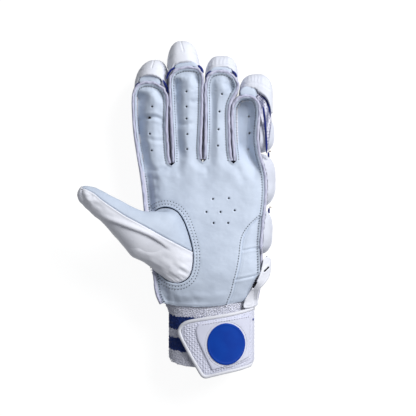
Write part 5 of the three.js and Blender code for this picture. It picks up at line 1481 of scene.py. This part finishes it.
for (cx, cy), l, w, deg in SLOTS:
    a = np.arange(18) * 2 * math.pi / 18
    c, s_ = math.cos(math.radians(deg)), math.sin(math.radians(deg))
    lx, ly = (l + 0.3) * np.cos(a), (w + 0.3) * np.sin(a)
    X, Y = cx + lx * c - ly * s_, cy + lx * s_ + ly * c
    Z = flap_top(X, Y)
    vv = np.concatenate([np.column_stack([X, Y, Z - 1.0]), np.column_stack([X, Y, Z - 2.4])])
    slot_bits.add(vv, grid_faces(2, 18, ring=True, flip=True).tolist() + [list(range(18)), list(range(18, 36))[::-1]])
place(slot_bits.build("flap_slots", M_PIT_PAINTED_SHADE), "white_leather")
flap_stitch = Bits()
fl = moved(curve([px(*p) for p in [(262.5, 268), (257.5, 276), (253.0, 284), (249.4, 292), (246.5, 300)]], 1.0), 0.0)
sewn(flap_stitch, np.column_stack([fl, flap_top(fl[:, 0], fl[:, 1]) + 0.9]), lambda mid: np.tile([0, 0, 1.0], (len(mid), 1)), pitch=2.2, length=1.3, radius=0.24)
place(flap_stitch.build("flap_stitches", M_THREAD_PALE), "white_leather")

# ------------------------------------------------------------------ cloth at the fingertips and at the edge of the hand
navy = Bits()
for pts, w in (([(138.6, 82.8), (136.6, 84.6), (134.9, 88)], 1.0), ([(160.6, 78.6), (164.0, 82.5), (167.0, 87.5), (168.6, 93)], 1.15), ([(174.4, 67.6), (170.6, 70.4), (167.9, 74.4), (166.6, 79)], 0.95),
               ([(197.8, 65.4), (201.0, 68.2), (203.2, 73)], 1.05), ([(211.2, 71.2), (207.9, 73.6), (205.2, 77.6)], 0.95), ([(232.0, 71.0), (234.8, 73.2), (236.8, 76.8)], 0.95)):
    line = curve([px(*p) for p in pts], 0.8)
    o = outward(line)
    P = palm_top(line[:, 0], line[:, 1])
    s = along(line)
    tap = 0.35 + 0.65 * np.sqrt(smooth(0, 1.4, s) * smooth(0, 1.4, s[-1] - s))
    sec = [(-1, -2.0), (-1, -0.9), (-0.7, -0.55), (0, -0.4), (0.7, -0.55), (1, -0.9), (1, -2.0), (0, -2.3)]
    v = np.zeros((len(line), len(sec), 3))
    for j, (a, zz) in enumerate(sec):
        v[:, j, :2] = line + o * (a * w * tap)[:, None]
        v[:, j, 2] = P + zz + 0.1 * noise(s, seed=240)
    n_, c_ = len(line), len(sec)
    navy.add(v.reshape(-1, 3), grid_faces(n_, c_, ring=True).tolist() + [list(range(c_))[::-1], [(n_ - 1) * c_ + j for j in range(c_)]])
place(navy.build("fingertip_cloth_corners", M_NAVY), "back_cloth")

lens_rows = 60
li, lo_ = resample(np.column_stack([LENS_IN, 0 * LENS_IN[:, 0]]), lens_rows)[:, :2], resample(np.column_stack([LENS_OUT, 0 * LENS_OUT[:, 0]]), lens_rows)[:, :2]
t = np.linspace(-0.12, 1.06, 16)
flat = li[:, None, :] * (1 - t)[None, :, None] + lo_[:, None, :] * t[None, :, None]
zz = lens_height(flat[..., 0].ravel(), flat[..., 1].ravel()).reshape(flat.shape[:2]) + 0.7 * np.sin(np.pi * np.clip(t, 0, 1))[None, :]
zz += 0.15 * noise(flat[..., 0] / 2.5, flat[..., 1] / 2.5, seed=250)
net = np.dstack([flat, zz])
holes_mat = material("open_mesh_cloth", (0.66, 0.66, 0.76), 0.85, cloth((0.09, 0.1, 0.2), (0.68, 0.68, 0.78), 0.0023, 0.0003))
lens = two_sided("little_mesh_gusset", net, net - [0, 0, 0.9], holes_mat, np.array([0, 0, 1.0]))
place(lens, "gusset_cloth")
mesh_holes = Bits()
for i in range(19):
    for j in range(3):
        f_, g_ = (i + 0.5) / 19, 0.2 + 0.3 * j + (0.14 if i % 2 else 0)
        k_ = f_ * (lens_rows - 1)
        a_ = np.array([np.interp(k_, np.arange(lens_rows), li[:, q]) for q in (0, 1)])
        b_ = np.array([np.interp(k_, np.arange(lens_rows), lo_[:, q]) for q in (0, 1)])
        if np.hypot(*(b_ - a_)) < 2.0 or g_ > 0.86:
            continue
        m_ = a_ * (1 - g_) + b_ * g_
        z_ = float(lens_height(m_[:1], m_[1:])[0]) + 0.7 * math.sin(math.pi * g_) + 0.02
        mesh_holes.stitch(np.array([m_[0], m_[1], z_]), np.array([0.25, 1.0, 0]) if j % 2 else np.array([-0.3, 1.0, 0]), np.array([0, 0, 1.0]), 0.95, 0.36)
place(mesh_holes.build("little_mesh_holes", M_NAVY), "gusset_cloth")
tapes = Bits()
inner_tape = curve([px(*p) for p in [(263.4, 106), (264.6, 115), (265.6, 125), (266.4, 136), (266.9, 146), (266.9, 153)]], 0.8)
outer_tape = curve([px(*p) for p in [(262.0, 95.2), (265.4, 98.4), (268.4, 103.6), (270.1, 109.5), (270.9, 116.5)]], 0.8)
for line, w in ((outer_tape, 0.85), (inner_tape, 0.95)):
    o = outward(line)
    s_ = along(line)
    tap = 0.25 + 0.75 * np.sqrt(smooth(0, 2.5, s_) * smooth(0, 6.0, s_[-1] - s_))
    P = lens_height(line[:, 0], line[:, 1]) + 0.75
    sec = [(-1, -0.7), (-1, -0.1), (-0.6, 0.25), (0.6, 0.25), (1, -0.1), (1, -0.7)]
    v = np.zeros((len(line), 6, 3))
    for j, (a, hgt) in enumerate(sec):
        v[:, j, :2] = line + o * (a * w * tap)[:, None]
        v[:, j, 2] = P + hgt
    n_ = len(line)
    tapes.add(v.reshape(-1, 3), grid_faces(n_, 6, ring=True).tolist() + [list(range(6))[::-1], [(n_ - 1) * 6 + j for j in range(6)]])
place(tapes.build("little_gusset_tapes", M_NAVY), "back_cloth")

# patches of cloth and cut leather that show between the side pads
M_TAN = material("cut_leather_edge", (0.35, 0.27, 0.2), 0.7, leather((0.28, 0.22, 0.17), (0.45, 0.38, 0.3), 0.6, 0.75))
for i, (cx, cy, hx, hy, mat, slot_) in enumerate((((269.0), 154.2, 1.0, 2.6, M_NAVY, "back_cloth"), (270.4, 150.8, 1.3, 0.6, M_TAN, "palm_leather"), (269.3, 210.6, 1.0, 2.6, M_NAVY, "back_cloth"), (270.7, 207.2, 1.3, 0.6, M_TAN, "palm_leather"),
                                              (267.3, 259.4, 0.8, 3.0, M_NAVY, "back_cloth"), (264.6, 262.0, 0.7, 2.2, M_NAVY, "back_cloth"))):
    n_ = 14
    gx, gy = np.meshgrid(np.linspace(-1, 1, n_), np.linspace(-1, 1, n_))
    rr = np.maximum(np.abs(gx), np.abs(gy))
    mid = px(cx, cy)
    X = mid[0] + gx * hx * 0.88 * (1 - 0.15 * gy ** 2) + 0.2 * noise(gy * 3, seed=260 + i)
    Y = mid[1] + gy * hy * 0.88 * (1 - 0.15 * gx ** 2)
    Z = palm_top(X, Y) - 2.6 - 0.9 * rr ** 4 + 0.35 * noise(X, Y, seed=270 + i) - 0.8
    if i >= 4:
        Z = Z - 4.5
    g_ = np.dstack([X, Y, Z])
    place(two_sided("edge_patch_%d" % (i + 1), g_, g_ - [0, 0, 1.0], mat, np.array([0, 0, 1.0])), slot_)

# a small blue tab at the strap's side
tab = np.array([[-0.6, 0], [0.5, 0.2], [0.7, -1.4], [-0.4, -1.5]])
tx, ty = px(253.6, 319.4)
ring_lo, ring_hi = [], []
for dx_, dy_ in tab:
    ring_hi.append([tx + dx_, ty + dy_, float(face_z(np.array(min(tx + dx_, 67.6)), 4.0)) + 0.05])
    ring_lo.append([tx + dx_, ty + dy_, float(face_z(np.array(min(tx + dx_, 67.6)), 3.2))])
place(build("strap_side_tab", ring_lo + ring_hi, [[0, 1, 2, 3], [7, 6, 5, 4], [0, 4, 5, 1], [1, 5, 6, 2], [2, 6, 7, 3], [3, 7, 4, 0]], M_BLUE), "badge")


# ------------------------------------------------------------------ floor, light and camera
floor_mesh = bpy.data.meshes.new("studio_floor")
floor_mesh.from_pydata([(-3, -3, 0), (3, -3, 0), (3, 3, 0), (-3, 3, 0)], [], [(0, 1, 2, 3)])
floor = bpy.data.objects.new("studio_floor", floor_mesh)
bpy.context.scene.collection.objects.link(floor)
floor_mat = bpy.data.materials.new("pale_floor")
floor_mat.use_nodes = True
fb = floor_mat.node_tree.nodes["Principled BSDF"]
fb.inputs["Base Color"].default_value = (0.15, 0.15, 0.15, 1)
fb.inputs["Roughness"].default_value = 0.9
fb.inputs["Emission Color"].default_value = (1, 1, 1, 1)
fb.inputs["Emission Strength"].default_value = 0.92
floor_mesh.materials.append(floor_mat)
floor.visible_diffuse = False  # the pale floor throws no light back up at the glove

world = bpy.data.worlds.new("studio")
bpy.context.scene.world = world
world.use_nodes = True
world.node_tree.nodes["Background"].inputs["Color"].default_value = (0.93, 0.95, 1.0, 1)
world.node_tree.nodes["Background"].inputs["Strength"].default_value = 0.3


def lamp(name, place_at, aim, size, power, colour=(1, 1, 1)):
    data = bpy.data.lights.new(name, "AREA")
    data.shape, data.size, data.energy, data.color = "DISK", size, power, colour
    ob = bpy.data.objects.new(name, data)
    bpy.context.scene.collection.objects.link(ob)
    ob.location = place_at
    ob.rotation_euler = (Vector(aim) - Vector(place_at)).to_track_quat("-Z", "Y").to_euler()
    return ob


lamp("key", (0.764, 0.612, 0.921), (0.03, 0.0, 0.04), 0.8, 20.0)

camera_data = bpy.data.cameras.new("camera")
camera = bpy.data.objects.new("camera", camera_data)
bpy.context.scene.collection.objects.link(camera)
camera_data.lens, camera_data.sensor_width = 135, 36
camera_data.clip_end = 20
camera.location = (0.0268, 0.0009, 0.044 + 1.373)
camera.rotation_euler = (0, 0, 0)
bpy.context.scene.camera = camera
bpy.context.scene.view_settings.view_transform = "Standard"
